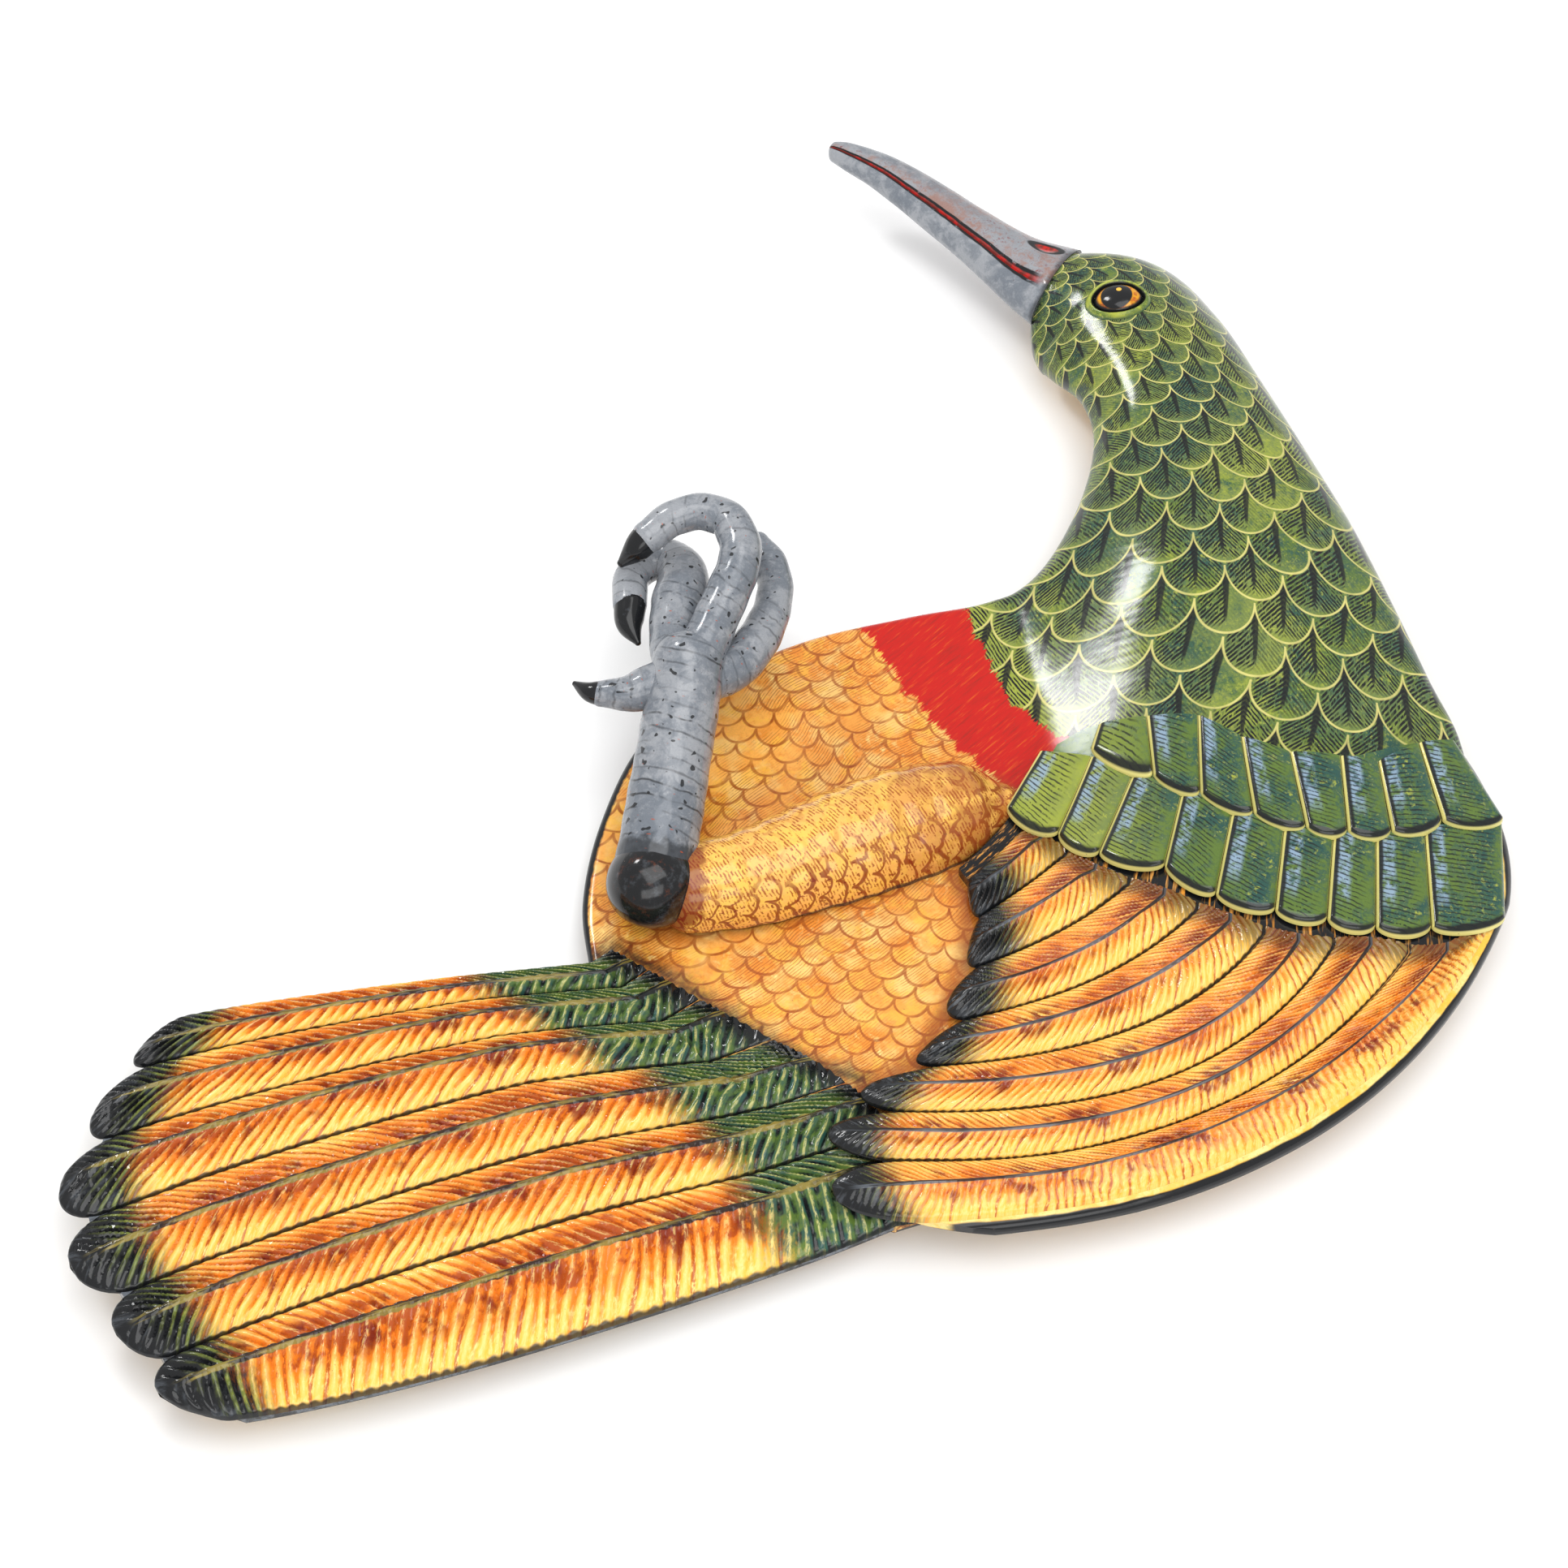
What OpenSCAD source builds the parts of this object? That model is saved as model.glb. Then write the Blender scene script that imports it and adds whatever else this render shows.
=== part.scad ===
// Slab-built ceramic bird dish. Millimetres, +Z up, resting on the foot ring at Z = 0.
// +X runs from the tail tips to the wing rim, +Y from the tail to the bill.

/* [Dish] */
// Thickness of the body sheet
body_thick = 8; // [5:0.5:12]
// Height of the foot ring above the table
foot_height = 6; // [3:0.5:12]
// Outside diameter of the foot ring
foot_diameter = 168; // [100:2:200]
// Wall of the foot ring
foot_wall = 10; // [5:0.5:20]
// How far the dish climbs at a point 100 mm outside the flat middle
dish_rise = 1.2; // [0:0.1:6]
// Radius of the flat middle of the dish
flat_radius = 100; // [60:5:140]

/* [Neck and head] */
// Height scale of the ridge that runs from the head to the wing
ridge_scale = 1; // [0.5:0.05:1.5]
// Thickness of the head at the bill
head_thick = 22; // [12:1:30]
// Radius of the rounding along the edge of the neck
neck_round = 15; // [6:1:20]

/* [Bill] */
// Half height of the bill at the head
bill_half = 10.5; // [6:0.5:14]
// Half height of the bill at its tip
bill_tip_half = 4; // [2:0.5:6]

/* [Eye] */
// Length of the eye
eye_length = 18; // [10:1:26]
// Height that the eye stands above the head
eye_bulge = 3; // [1:0.5:6]
// Width of the eyelid
lid_width = 3; // [1.5:0.5:5]

/* [Tail] */
// Thickness of the tail sheet
tail_thick = 5; // [3:0.5:10]
// Height of the arch across the tail
tail_arch = 11; // [0:1:20]
// Thickness of a tail feather along its quill
tail_feather_thick = 4; // [2:0.5:6]

/* [Wing] */
// Thickness of the wing sheet
wing_thick = 4.5; // [3:0.5:10]
// Thickness of a wing feather along its quill
wing_feather_thick = 4; // [2:0.5:6]
// Thickness of a covert at its tip
covert_thick = 3.2; // [1.5:0.5:6]

/* [Leg] */
// Diameter of the knee
knee_diameter = 31; // [20:1:40]
// Gap between the knee and the body sheet under it
knee_gap = 0.5; // [0:0.5:10]
// Diameter of the shin at the ankle
shin_diameter = 25; // [14:1:30]
// Height of the ankle above the middle of the knee
ankle_rise = 24; // [10:1:50]
// Diameter of the thigh
thigh_diameter = 38; // [24:1:50]
// Diameter of a toe at its root
toe_diameter = 15; // [8:0.5:20]

/* [View] */
// Piece to draw

/* [Hidden] */

// Middle of the foot ring and of the flat part of the dish
foot_at = [22, -52];

// Colours
belly_c = [0.95, 0.70, 0.35];
green_c = [0.36, 0.52, 0.24];
grey_c = [0.50, 0.52, 0.55];
dark_c = [0.10, 0.11, 0.12];
clay_c = [0.88, 0.80, 0.68];
tail_c = [0.95, 0.62, 0.22];
wing_c = [0.97, 0.72, 0.28];
cover_c = [0.25, 0.45, 0.30];
eye_c = [0.90, 0.55, 0.10];

// A smooth curve through the points p, at u from 0 to len(p) - 1
function curve(p, u) =
    let (n = len(p), i = max(0, min(floor(u), n - 2)), t = u - i,
        b = p[i], c = p[i + 1],
        a = i > 0 ? p[i - 1] : 2 * b - c,
        d = i < n - 2 ? p[i + 2] : 2 * c - b)
    0.5 * (2 * b + (c - a) * t + (2 * a - 5 * b + 4 * c - d) * t * t
        + (3 * b - a - 3 * c + d) * t * t * t);
// The same with u from 0 to 1
function along(p, u) = curve(p, u * (len(p) - 1));
function mix(a, b, t) = a + (b - a) * t;
function clamp(v, a, b) = max(a, min(b, v));
function span(a, b, n) = [for (i = [0:n]) a + (b - a) * i / n];
// Quadratic through three points at u = 0, 0.5 and 1
function bow(a, b, c, u) =
    a * (1 - u) * (1 - 2 * u) + b * 4 * u * (1 - u) + c * u * (2 * u - 1);
// Height of a quarter-round edge: 0 at the edge, 1 at r and further in
function roundover(e, r) = e >= r ? 1 : sqrt(1 - pow(1 - max(0, e) / r, 2));

// Top face of the flat middle of the dish
flat_top = foot_height + body_thick;
// Shallow dish: height of the sheet's top face before the ridge is added
function dish_z(x, y) =
    let (r = norm([x, y] - foot_at) - flat_radius)
    flat_top + dish_rise * pow(max(0, r) / 100, 2);

// The ridge that runs down the head and neck and on through the wing:
// x, y, height over the dish, half width
ridge = [[84, 188, 20, 38], [108, 182, 26, 46], [124, 158, 28, 52], [136, 128, 28, 58],
    [143, 95, 29, 68], [150, 58, 30, 78], [160, 14, 25, 84], [165, -32, 20, 84],
    [156, -78, 17, 86], [126, -118, 13, 80], [78, -146, 9, 70], [26, -160, 5, 55]];
ridge_pts = [for (u = span(0, 1, 33)) along(ridge, u)];
function ridge_z(x, y) =
    let (f = [for (q = ridge_pts) norm([x - q[0], y - q[1]]) / q[3]],
        m = min(f), k = [for (i = [0:len(f) - 1]) if (f[i] == m) i][0])
    m >= 1 ? 0 : ridge_scale * ridge_pts[k][2] * pow(1 - m * m, 1.4);
// Top face of the body sheet, the neck and the head
function body_z(x, y) = dish_z(x, y) + ridge_z(x, y);

// Outline of body, neck and head in pairs of a left and a right point
left_edge = [[-73, -98], [-76, -72], [-71, -40], [-58, -6], [-34, 20], [-2, 38], [34, 49],
    [62, 56], [83, 68], [98, 94], [104, 120], [100, 140], [90, 155], [84, 166], [83, 173]];
right_edge = [[28, -198], [88, -179], [142, -155], [187, -122], [214, -84], [226, -46],
    [225, -12], [216, 14], [206, 46], [194, 82], [180, 116], [166, 149], [153, 180],
    [136, 202], [103, 206]];
// Rounding of the top edge at each pair
edge_round = [6, 6, 6, 6, 6, 6, 7, 9, 12, neck_round, neck_round, neck_round, neck_round,
    neck_round, neck_round];
// Thickness at each pair
sheet = [body_thick, body_thick, body_thick, body_thick, body_thick, body_thick, body_thick,
    body_thick, body_thick + 1, body_thick + 3, body_thick + 5, body_thick + 8,
    mix(body_thick, head_thick, 0.7), mix(body_thick, head_thick, 0.9), head_thick];
body_end = 7;
neck_end = 11.2;

function trunk_xy(q, t) = mix(curve(left_edge, q), curve(right_edge, q), t);
// Distance in from the nearer edge
function trunk_in(q, t) = norm(curve(right_edge, q) - curve(left_edge, q)) * min(t, 1 - t);
function trunk_top(q, t) =
    let (p = trunk_xy(q, t), r = curve(edge_round, q),
        drop = 0.5 * r * (1 - roundover(trunk_in(q, t), r)))
    [p[0], p[1], body_z(p[0], p[1]) - drop];
// The underside follows the top face, and comes down flat to meet the foot ring
foot_blend = 30;
function trunk_low(q, t) =
    let (p = trunk_xy(q, t), top = trunk_top(q, t)[2],
        low = max(foot_height, body_z(p[0], p[1]) - curve(sheet, q)),
        out = norm(p - foot_at) - foot_diameter / 2 - 4)
    [p[0], p[1], min(top - 1.5, mix(foot_height, low, clamp(out / foot_blend, 0, 1)))];

// Positions across: close together near the edges
across = [0, 0.012, 0.035, 0.07, 0.13, 0.2, 0.3, 0.4, 0.5, 0.6, 0.7, 0.8, 0.87, 0.93, 0.965,
    0.988, 1];

// A grid's rows turned end for end where its columns run the other way round
function facing(grid, like) =
    let (i = floor(len(like) / 2), j = floor(len(like[0]) / 2),
        a = like[i + 1][j] - like[i][j], b = like[i][j + 1] - like[i][j],
        n = len(grid[0]))
    a[0] * b[1] - a[1] * b[0] < 0 ? grid : [for (r = grid) [for (k = [n - 1:-1:0]) r[k]]];

// A closed solid between a top grid and a bottom grid of points
module layer(top, low) {
    m = len(top);
    n = len(top[0]);
    pts = [for (r = facing(top, top)) each r, for (r = facing(low, top)) each r];
    o = m * n;
    rim = concat([for (j = [0:n - 1]) j], [for (i = [1:m - 1]) i * n + n - 1],
        [for (j = [n - 2:-1:0]) (m - 1) * n + j], [for (i = [m - 2:-1:1]) i * n]);
    c = len(rim);
    faces = concat(
        [for (i = [0:m - 2], j = [0:n - 2]) each
            [[i * n + j, (i + 1) * n + j, (i + 1) * n + j + 1],
            [i * n + j, (i + 1) * n + j + 1, i * n + j + 1]]],
        [for (i = [0:m - 2], j = [0:n - 2]) each
            [[o + i * n + j, o + (i + 1) * n + j + 1, o + (i + 1) * n + j],
            [o + i * n + j, o + i * n + j + 1, o + (i + 1) * n + j + 1]]],
        [for (k = [0:c - 1]) each
            [[rim[k], rim[(k + 1) % c], o + rim[(k + 1) % c]],
            [rim[k], o + rim[(k + 1) % c], o + rim[k]]]]);
    polyhedron(points = pts, faces = faces, convexity = 8);
}

module trunk(q0, q1, n) {
    layer([for (q = span(q0, q1, n)) [for (t = across) trunk_top(q, t)]],
        [for (q = span(q0, q1, n)) [for (t = across) trunk_low(q, t)]]);
}

// A closed tube through rings of points, closed by a point at each end
module skin(rings, first, last) {
    m = len(rings);
    n = len(rings[0]);
    pts = [for (r = rings) each r, first, last];
    faces = concat(
        [for (i = [0:m - 2], j = [0:n - 1]) each
            [[i * n + j, i * n + (j + 1) % n, (i + 1) * n + (j + 1) % n],
            [i * n + j, (i + 1) * n + (j + 1) % n, (i + 1) * n + j]]],
        [for (j = [0:n - 1]) [m * n, (j + 1) % n, j]],
        [for (j = [0:n - 1]) [m * n + 1, (m - 1) * n + j, (m - 1) * n + (j + 1) % n]]);
    polyhedron(points = pts, faces = faces, convexity = 8);
}

function unit(v) = v / norm(v);
// A round limb along the points p, each [x, y, z, radius], in n steps with k sides
module limb(p, n, k) {
    q = [for (u = span(0, 1, n)) along(p, u)];
    c = [for (v = q) [v[0], v[1], v[2]]];
    d = [for (i = [0:n]) unit(c[min(n, i + 1)] - c[max(0, i - 1)])];
    rings = [for (i = [0:n])
        let (s = unit(cross(d[i], [0.13, 0.21, 1])), w = cross(s, d[i]))
        [for (j = [0:k - 1]) c[i] + q[i][3] * (s * cos(360 * j / k) + w * sin(360 * j / k))]];
    skin(rings, c[0] - d[0] * 0.45 * q[0][3], c[n] + d[n] * 0.45 * q[n][3]);
}

// ---- tail: curves run from the body to the tips, v from the far edge to the near edge
tail_root = [[-73, -98], [-48, -123], [-23, -148], [3, -173], [28, -198]];
tail_reach = [[-66, -92], [-34, -113], [4, -139], [26, -164], [34, -197]];
tail_mid = [[-148, -109], [-106, -249]];
tail_tip = [[-213, -121], [-231, -160], [-239, -197], [-230, -223], [-214, -244],
    [-201, -261], [-187, -268]];
tail_line = [0, 0.10, 0.235, 0.39, 0.575, 0.75, 1];
tail_quill = [0.055, 0.16, 0.29, 0.475, 0.65, 0.835];

function tail_xy(s, v) = s >= 0
    ? bow(along(tail_root, v), mix(tail_mid[0], tail_mid[1], v), along(tail_tip, v), s)
    : mix(along(tail_root, v), along(tail_reach, v), -s);
// How far the tail droops: it starts at droop_from and grows with droop to the tips
droop = 16;
droop_from = 0.65;
// Arch across the tail, easing out where it meets the body
function tail_z(s, v) =
    let (p = tail_xy(s, v), a = 0.1 + 0.9 * sin(180 * pow(v, 0.85)))
    dish_z(p[0], p[1]) + ridge_z(p[0], p[1]) * clamp(1 - s * 6, 0, 1)
        + tail_arch * a * clamp(0.1 + s * 3, 0, 1) - droop * pow(max(0, s - droop_from), 2);
function tail_top(s, v) = let (p = tail_xy(s, v)) [p[0], p[1], tail_z(s, v)];
function tail_low(s, v) =
    let (p = tail_xy(s, v)) [p[0], p[1], max(foot_height, tail_z(s, v) - tail_thick)];
// The sheet stays inside its feathers: a share of its width, and where it ends at v
tail_in = 0.03;
tail_stop = 0.955;
tail_corner = 0.07;
function tail_end(v) = tail_stop - tail_corner * pow(max(0, (abs(v - 0.5) - 0.34) / 0.16), 2);

// Feather across: a from -1 on the far side to 1 on the near side, 0 on the quill
feather_a = [-1, -0.93, -0.7, -0.35, 0, 0.35, 0.7, 0.93, 1];
// Thickness of a feather at its sides
feather_edge = 0.8;
// Where the round end of a tail feather and of a wing feather starts
tail_round = 0.93;
wing_tip_round = 0.9;
// Half width left near the tip, which is a round end
function tip_width(s, s0) = s <= s0 ? 1 : sqrt(max(0.0004, 1 - pow((s - s0) / (1 - s0), 2)));
function feather_v(i, s, a) =
    let (w = tip_width(s, tail_round), q = tail_quill[i], l = tail_line[i], r = tail_line[i + 1])
    a < 0 ? q + (q - l) * a * w : q + (r - q) * a * w;
// Pillow of a feather: full over the quill, thin at the sides and the tip
function pillow(s, a, s1) = sqrt(max(0, 1 - pow(abs(a), 2.6))) * (s < s1 ? 1 :
    sqrt(max(0, 1 - pow((s - s1) / (1.002 - s1), 2))));
module tail_feather(i) {
    ss = concat([-1, -0.5, 0], span(0.06, 0.9, 9), [0.93, 0.96, 0.985, 1]);
    layer(
        [for (s = ss) [for (a = feather_a)
            let (v = feather_v(i, s, a), p = tail_top(s, v))
            [p[0], p[1], p[2] + feather_edge + (tail_feather_thick - feather_edge)
                * pillow(s, a, tail_round - 0.03) * clamp(1 + 0.75 * s, 0.25, 1)]]],
        [for (s = ss) [for (a = feather_a)
            let (v = feather_v(i, s, a)) tail_top(s, v)]]);
}

// ---- wing: curves run from the coverts to the tips, v = 0 at the breast, 8 at the rim
wing_crown = [[86, -12], [97, -8], [113, -9], [131, -11], [147, -22], [163, -29], [182, -30],
    [204, -22], [222, -16]];
wing_root = [[67, -44], [79, -51], [96, -68], [118, -82], [139, -94], [161, -102],
    [185, -102], [211, -101], [235, -78]];
wing_mid = [[58, -55], [68, -63], [78, -81], [88, -104], [98, -123], [108, -144], [114, -160],
    [128, -170], [154, -173]];
wing_tip = [[50, -63], [54, -75], [53, -96], [46, -117], [37, -137], [18, -151], [6, -168],
    [7, -190], [14, -206]];
// How far the rim bows out beside the coverts
shoulder_bulge = 7;
// Where the sheet ends under its feathers, how far its corner is rounded off, and its rim
wing_stop = 0.93;
wing_corner = 0.07;
wing_round = 7;
function wing_end(v) = wing_stop - wing_corner * pow(max(0, (v - 7.4) / 0.6), 2);
function wing_xy(s, v) = s >= 0
    ? bow(curve(wing_root, v), curve(wing_mid, v), curve(wing_tip, v), s)
    : mix(curve(wing_root, v), curve(wing_crown, v), -s)
        + [shoulder_bulge * 4 * -s * (1 + s) * pow(v / 8, 5), 0];
// The tips beside the tail lift over the roots of the tail feathers
function wing_lift(s, v) =
    0.9 * tail_feather_thick * clamp((s - 0.7) / 0.2, 0, 1) * clamp((v - 5.4) / 1.2, 0, 1);
function wing_top(s, v) =
    let (p = wing_xy(s, v), e = norm(wing_xy(s, 8) - p),
        drop = 0.45 * wing_round * (1 - roundover(e, wing_round)))
    [p[0], p[1], body_z(p[0], p[1]) + wing_thick + wing_lift(s, v) - drop];
function wing_low(s, v) =
    let (p = wing_xy(s, v)) [p[0], p[1], body_z(p[0], p[1]) + wing_lift(s, v)];

wing_from = [0.5, 1.5, 2.5, 3.5, 4.5, 5.5, 6.5];
wing_to = [1.5, 2.5, 3.5, 4.5, 5.5, 6.5, 7.75];
function primary_v(i, s, a) =
    let (w = tip_width(s, wing_tip_round), q = i + 1, l = wing_from[i], r = wing_to[i])
    a < 0 ? q + (q - l) * a * w : q + (r - q) * a * w;
module wing_feather(i) {
    ss = concat(span(-0.04, 0.86, 8), [0.9, 0.94, 0.98, 1]);
    layer(
        [for (s = ss) [for (a = feather_a)
            let (v = primary_v(i, s, a), p = wing_top(s, v))
            [p[0], p[1], p[2] + feather_edge + (wing_feather_thick - feather_edge)
                * pillow(s, a, wing_tip_round - 0.04) * min(1, 0.35 + 4 * max(0, s))]]],
        [for (s = ss) [for (a = feather_a) wing_top(s, primary_v(i, s, a))]]);
}

// ---- coverts: lines between the tiles, from the neck to the tips
lower_head = [[80, -14], [97, -20], [111, -29], [127, -38], [143, -48], [160, -53],
    [176, -57], [190, -59], [207, -55], [235, -46]];
lower_tail = [[68, -38], [85, -50], [98, -61], [119, -70], [135, -83], [154, -90],
    [171, -93], [187, -95], [206, -93], [232, -86]];
upper_head = [[100, -8], [116, -9], [133, -12], [147, -22], [163, -29], [180, -30],
    [193, -31], [208, -21], [221, -17]];
upper_tail = [[97, -17], [117, -32], [132, -42], [149, -52], [166, -58], [180, -59],
    [195, -58], [213, -51], [235, -46]];
// How far a tile bows out at its tip, and its thickness at its sides
covert_bulge = 5;
covert_edge = 0.5;
// How far the tips of the lower and the upper tiles lift off the wing
lower_lift = 1.8;
upper_lift = 1.4;

// One tile between line j and line j + 1: s from 0 at its root to 1 at its tip, a across
function tile_xy(head, tail, j, s, a) =
    let (l = mix(head[j], tail[j], s), r = mix(head[j + 1], tail[j + 1], s),
        d = unit((tail[j] - head[j]) + (tail[j + 1] - head[j + 1])))
    mix(l, r, a) + d * covert_bulge * s * s * sqrt(max(0, 1 - pow(2 * a - 1, 2)));
tile_a = [0, 0.05, 0.2, 0.4, 0.6, 0.8, 0.95, 1];
// Height of the wing sheet's top at a plan point
function wing_face(p) = body_z(p[0], p[1]) + wing_thick;
module tile(head, tail, j, lift) {
    ss = [0, 0.25, 0.55, 0.85, 0.96, 1];
    layer(
        [for (s = ss) [for (a = tile_a) let (p = tile_xy(head, tail, j, s, a))
            [p[0], p[1], wing_face(p) + lift * s + covert_edge + (covert_thick - covert_edge)
                * (0.25 + 0.75 * s) * pow(max(0, 1 - pow(abs(2 * a - 1), 3)), 0.5)
                * (s > 0.999 ? 0.1 : s > 0.95 ? 0.6 : 1)]]],
        [for (s = ss) [for (a = tile_a) let (p = tile_xy(head, tail, j, s, a))
            [p[0], p[1], wing_face(p) + lift * s]]]);
}

// ---- bill: w from -1 on the upper edge to 1 on the lower edge
bill_top_edge = [[103, 206], [86, 212], [68, 225], [50, 240], [33, 252], [18, 258], [10, 258]];
bill_low_edge = [[83, 173], [74, 183], [59, 202], [42, 221], [26, 238], [14, 248], [8, 253]];
gape_at = 0.42;
function bill_half_z(s) = mix(bill_half, bill_tip_half, pow(s, 0.8));
// Height of the bill's middle line over the dish at the head, and its climb to the tip
bill_over_dish = 15;
bill_climb = 4;
function bill_z(s) = flat_top + bill_over_dish + bill_climb * s;
function bill_pt(s, w, side) =
    let (p = mix(along(bill_top_edge, s), along(bill_low_edge, s), (w + 1) / 2),
        h = bill_half_z(s) * sqrt(max(0.004, 1 - w * w)) * (s > 0.999 ? 0.35 : 1))
    [p[0], p[1], bill_z(s) + side * h];
module bill_part(w0, w1) {
    ss = concat(span(0, 0.9, 12), [0.95, 0.985, 1]);
    k = [for (b = span(0, 90, 8)) w0 < -0.9 ? mix(w1, w0, sin(b)) : mix(w0, w1, sin(b))];
    ws = w0 < -0.9 ? [for (i = [len(k) - 1:-1:0]) k[i]] : k;
    layer([for (s = ss) [for (w = ws) bill_pt(s, w, 1)]],
        [for (s = ss) [for (w = ws) bill_pt(s, w, -1)]]);
}

// ---- eye on the side of the head
eye_at = [114, 171];
eye_z = body_z(eye_at[0], eye_at[1]);
// Lid and eyeball start this far above the head, and stay this far apart
eye_step = 0.2;
eye_gap = 0.1;

// ---- leg: middle line of each limb, [x, y, z, radius]
knee_at = [-52, -76];
ankle_at = [-40, -1];
knee_height = body_z(knee_at[0], knee_at[1]) + knee_gap + knee_diameter / 2;
ankle_height = knee_height + ankle_rise;
shin_r = shin_diameter / 2;
toe_r = toe_diameter / 2;
thigh_r = thigh_diameter / 2;
// A point beside the ankle, in plan and height
function by_ankle(x, y, z, r) =
    [ankle_at[0] + x, ankle_at[1] + y, ankle_height + z, r * toe_r];
shin_path = [[knee_at[0], knee_at[1], knee_height, shin_r * 1.1],
    [mix(knee_at[0], ankle_at[0], 0.5), mix(knee_at[1], ankle_at[1], 0.5),
        mix(knee_height, ankle_height, 0.5), shin_r * 1.04],
    [ankle_at[0], ankle_at[1], ankle_height, shin_r]];
thigh_path = [[66, -34, flat_top, 0.45], [52, -37, flat_top + 1, 0.95],
    [28, -46, flat_top + 2, 1.1], [4, -57, flat_top + 4, 1.02], [-20, -68, flat_top + 7, 0.88],
    [knee_at[0] + 12, knee_at[1] + 2, flat_top + 10, 0.8]];
// Toes from the ankle to the claw: middle, inner, outer and hind
toes = [
    [by_ankle(2, -4, 1, 1.15), by_ankle(5, 4, 3, 1.1), by_ankle(11, 18, 7, 1.02),
        by_ankle(16, 30, 11, 1), by_ankle(17, 39, 13, 0.98), by_ankle(13, 49, 14, 0.9),
        by_ankle(4, 53, 14, 0.86), by_ankle(-6, 51, 13, 0.84), by_ankle(-15, 45, 10, 0.76)],
    [by_ankle(-4, -2, -1, 1.1), by_ankle(-6, 12, -3, 1.1), by_ankle(-4, 27, -5, 1.3),
        by_ankle(-3, 41, -7, 1.2), by_ankle(-8, 50, -9, 1), by_ankle(-16, 48, -9, 0.85),
        by_ankle(-21, 40, -8, 0.85), by_ankle(-21, 29, -7, 0.78)],
    [by_ankle(7, -4, -5, 1.05), by_ankle(15, 2, -7, 1.05), by_ankle(22, 11, -6, 1),
        by_ankle(27, 23, -6, 0.9), by_ankle(29, 35, -6, 0.85), by_ankle(27, 46, -6, 0.8),
        by_ankle(22, 54, -6, 0.72)],
    [by_ankle(-4, -5, -2, 1.05), by_ankle(-15, -10, -3, 0.98), by_ankle(-22, -12, -3, 0.8),
        by_ankle(-30, -12, -3, 0.6)]];
toe_steps = [16, 14, 11, 7];
// Claws in the same order; the outer toe shows none
claws = [
    [by_ankle(-15, 45, 10, 0.7), by_ankle(-19, 42, 7, 0.62), by_ankle(-24, 39, 3, 0.2)],
    [by_ankle(-21, 29, -7, 0.7), by_ankle(-21, 21, -8, 0.62), by_ankle(-18, 14, -9, 0.15)],
    [],
    [by_ankle(-30, -12, -3, 0.55), by_ankle(-34, -11, -3, 0.45), by_ankle(-39, -7, -4, 0.12)]];

// Puts the middle of the plan on the origin
plan_middle = [-2, -4.5];
module seat() {
    translate([-plan_middle[0], -plan_middle[1], 0]) children();
}

// ================= pieces =================

module body_sheet() {
    color(belly_c) seat() trunk(0, body_end, 20);
}

module neck() {
    color(green_c) seat() trunk(body_end, neck_end, 13);
}

module head() {
    color(green_c) seat() trunk(neck_end, len(left_edge) - 1, 13);
}

module foot_ring() {
    color(clay_c) seat() translate([foot_at[0], foot_at[1], 0]) difference() {
        cylinder(h = foot_height, d = foot_diameter, $fn = 128);
        translate([0, 0, -1])
            cylinder(h = foot_height + 2, d = foot_diameter - 2 * foot_wall, $fn = 128);
    }
}

module bill_upper() {
    color(grey_c) seat() bill_part(-1, gape_at);
}

module bill_lower() {
    color(grey_c) seat() bill_part(gape_at, 1);
}

// Outline of the eye grown by g: pointed a little at the front and at the back
function eye_xy(t, g) =
    let (a = eye_length / 2 + g, k = 0.72 + 0.05 * g / lid_width)
    [eye_at[0] + a * cos(t), eye_at[1] + k * a * sin(t) * (1 - 0.12 * pow(cos(t), 4))];
lid_u = [0, 0.15, 0.5, 0.85, 1];
function lid_top(t, u) = let (p = eye_xy(t, lid_width * u))
    [p[0], p[1], body_z(p[0], p[1]) + eye_step + lid_width * 0.6 * sin(180 * u)];
function lid_low(t, u) = let (p = eye_xy(t, lid_width * u)) [p[0], p[1], body_z(p[0], p[1])];
module eyelid_ring() {
    k = 32;
    m = 2 * len(lid_u);
    rings = [for (i = [0:k - 1]) concat([for (u = lid_u) lid_top(360 * i / k, u)],
        [for (j = [len(lid_u) - 1:-1:0]) lid_low(360 * i / k, lid_u[j])])];
    color(green_c) seat() polyhedron(points = [for (r = rings) each r],
        faces = [for (i = [0:k - 1], j = [0:m - 1]) let (e = (i + 1) % k, f = (j + 1) % m) each
            [[i * m + j, e * m + f, i * m + f], [i * m + j, e * m + j, e * m + f]]],
        convexity = 6);
}

module eyeball() {
    k = 32;
    us = [0.06, 0.3, 0.55, 0.8, 0.94, 1];
    rings = concat([for (u = us) [for (i = [0:k - 1])
        let (p = mix(eye_at, eye_xy(360 * i / k, -eye_gap), u))
        [p[0], p[1], body_z(p[0], p[1]) + eye_step + eye_bulge * sqrt(max(0, 1 - u * u))]]],
        [[for (i = [0:k - 1])
        let (p = eye_xy(360 * i / k, -eye_gap))
        [p[0], p[1], body_z(p[0], p[1])]]]);
    color(eye_c) seat() skin(rings, [eye_at[0], eye_at[1], eye_z + eye_step + eye_bulge],
        [eye_at[0], eye_at[1], eye_z]);
}

module tail_sheet() {
    ss = concat(span(0, 0.94, 14), [0.97, 1]);
    vs = concat([tail_in * 0.3], span(tail_in, 1 - tail_in, 12), [1 - tail_in * 0.3]);
    color(tail_c) seat() layer([for (s = ss) [for (v = vs) tail_top(s * tail_end(v), v)]],
        [for (s = ss) [for (v = vs) tail_low(s * tail_end(v), v)]]);
}

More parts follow.
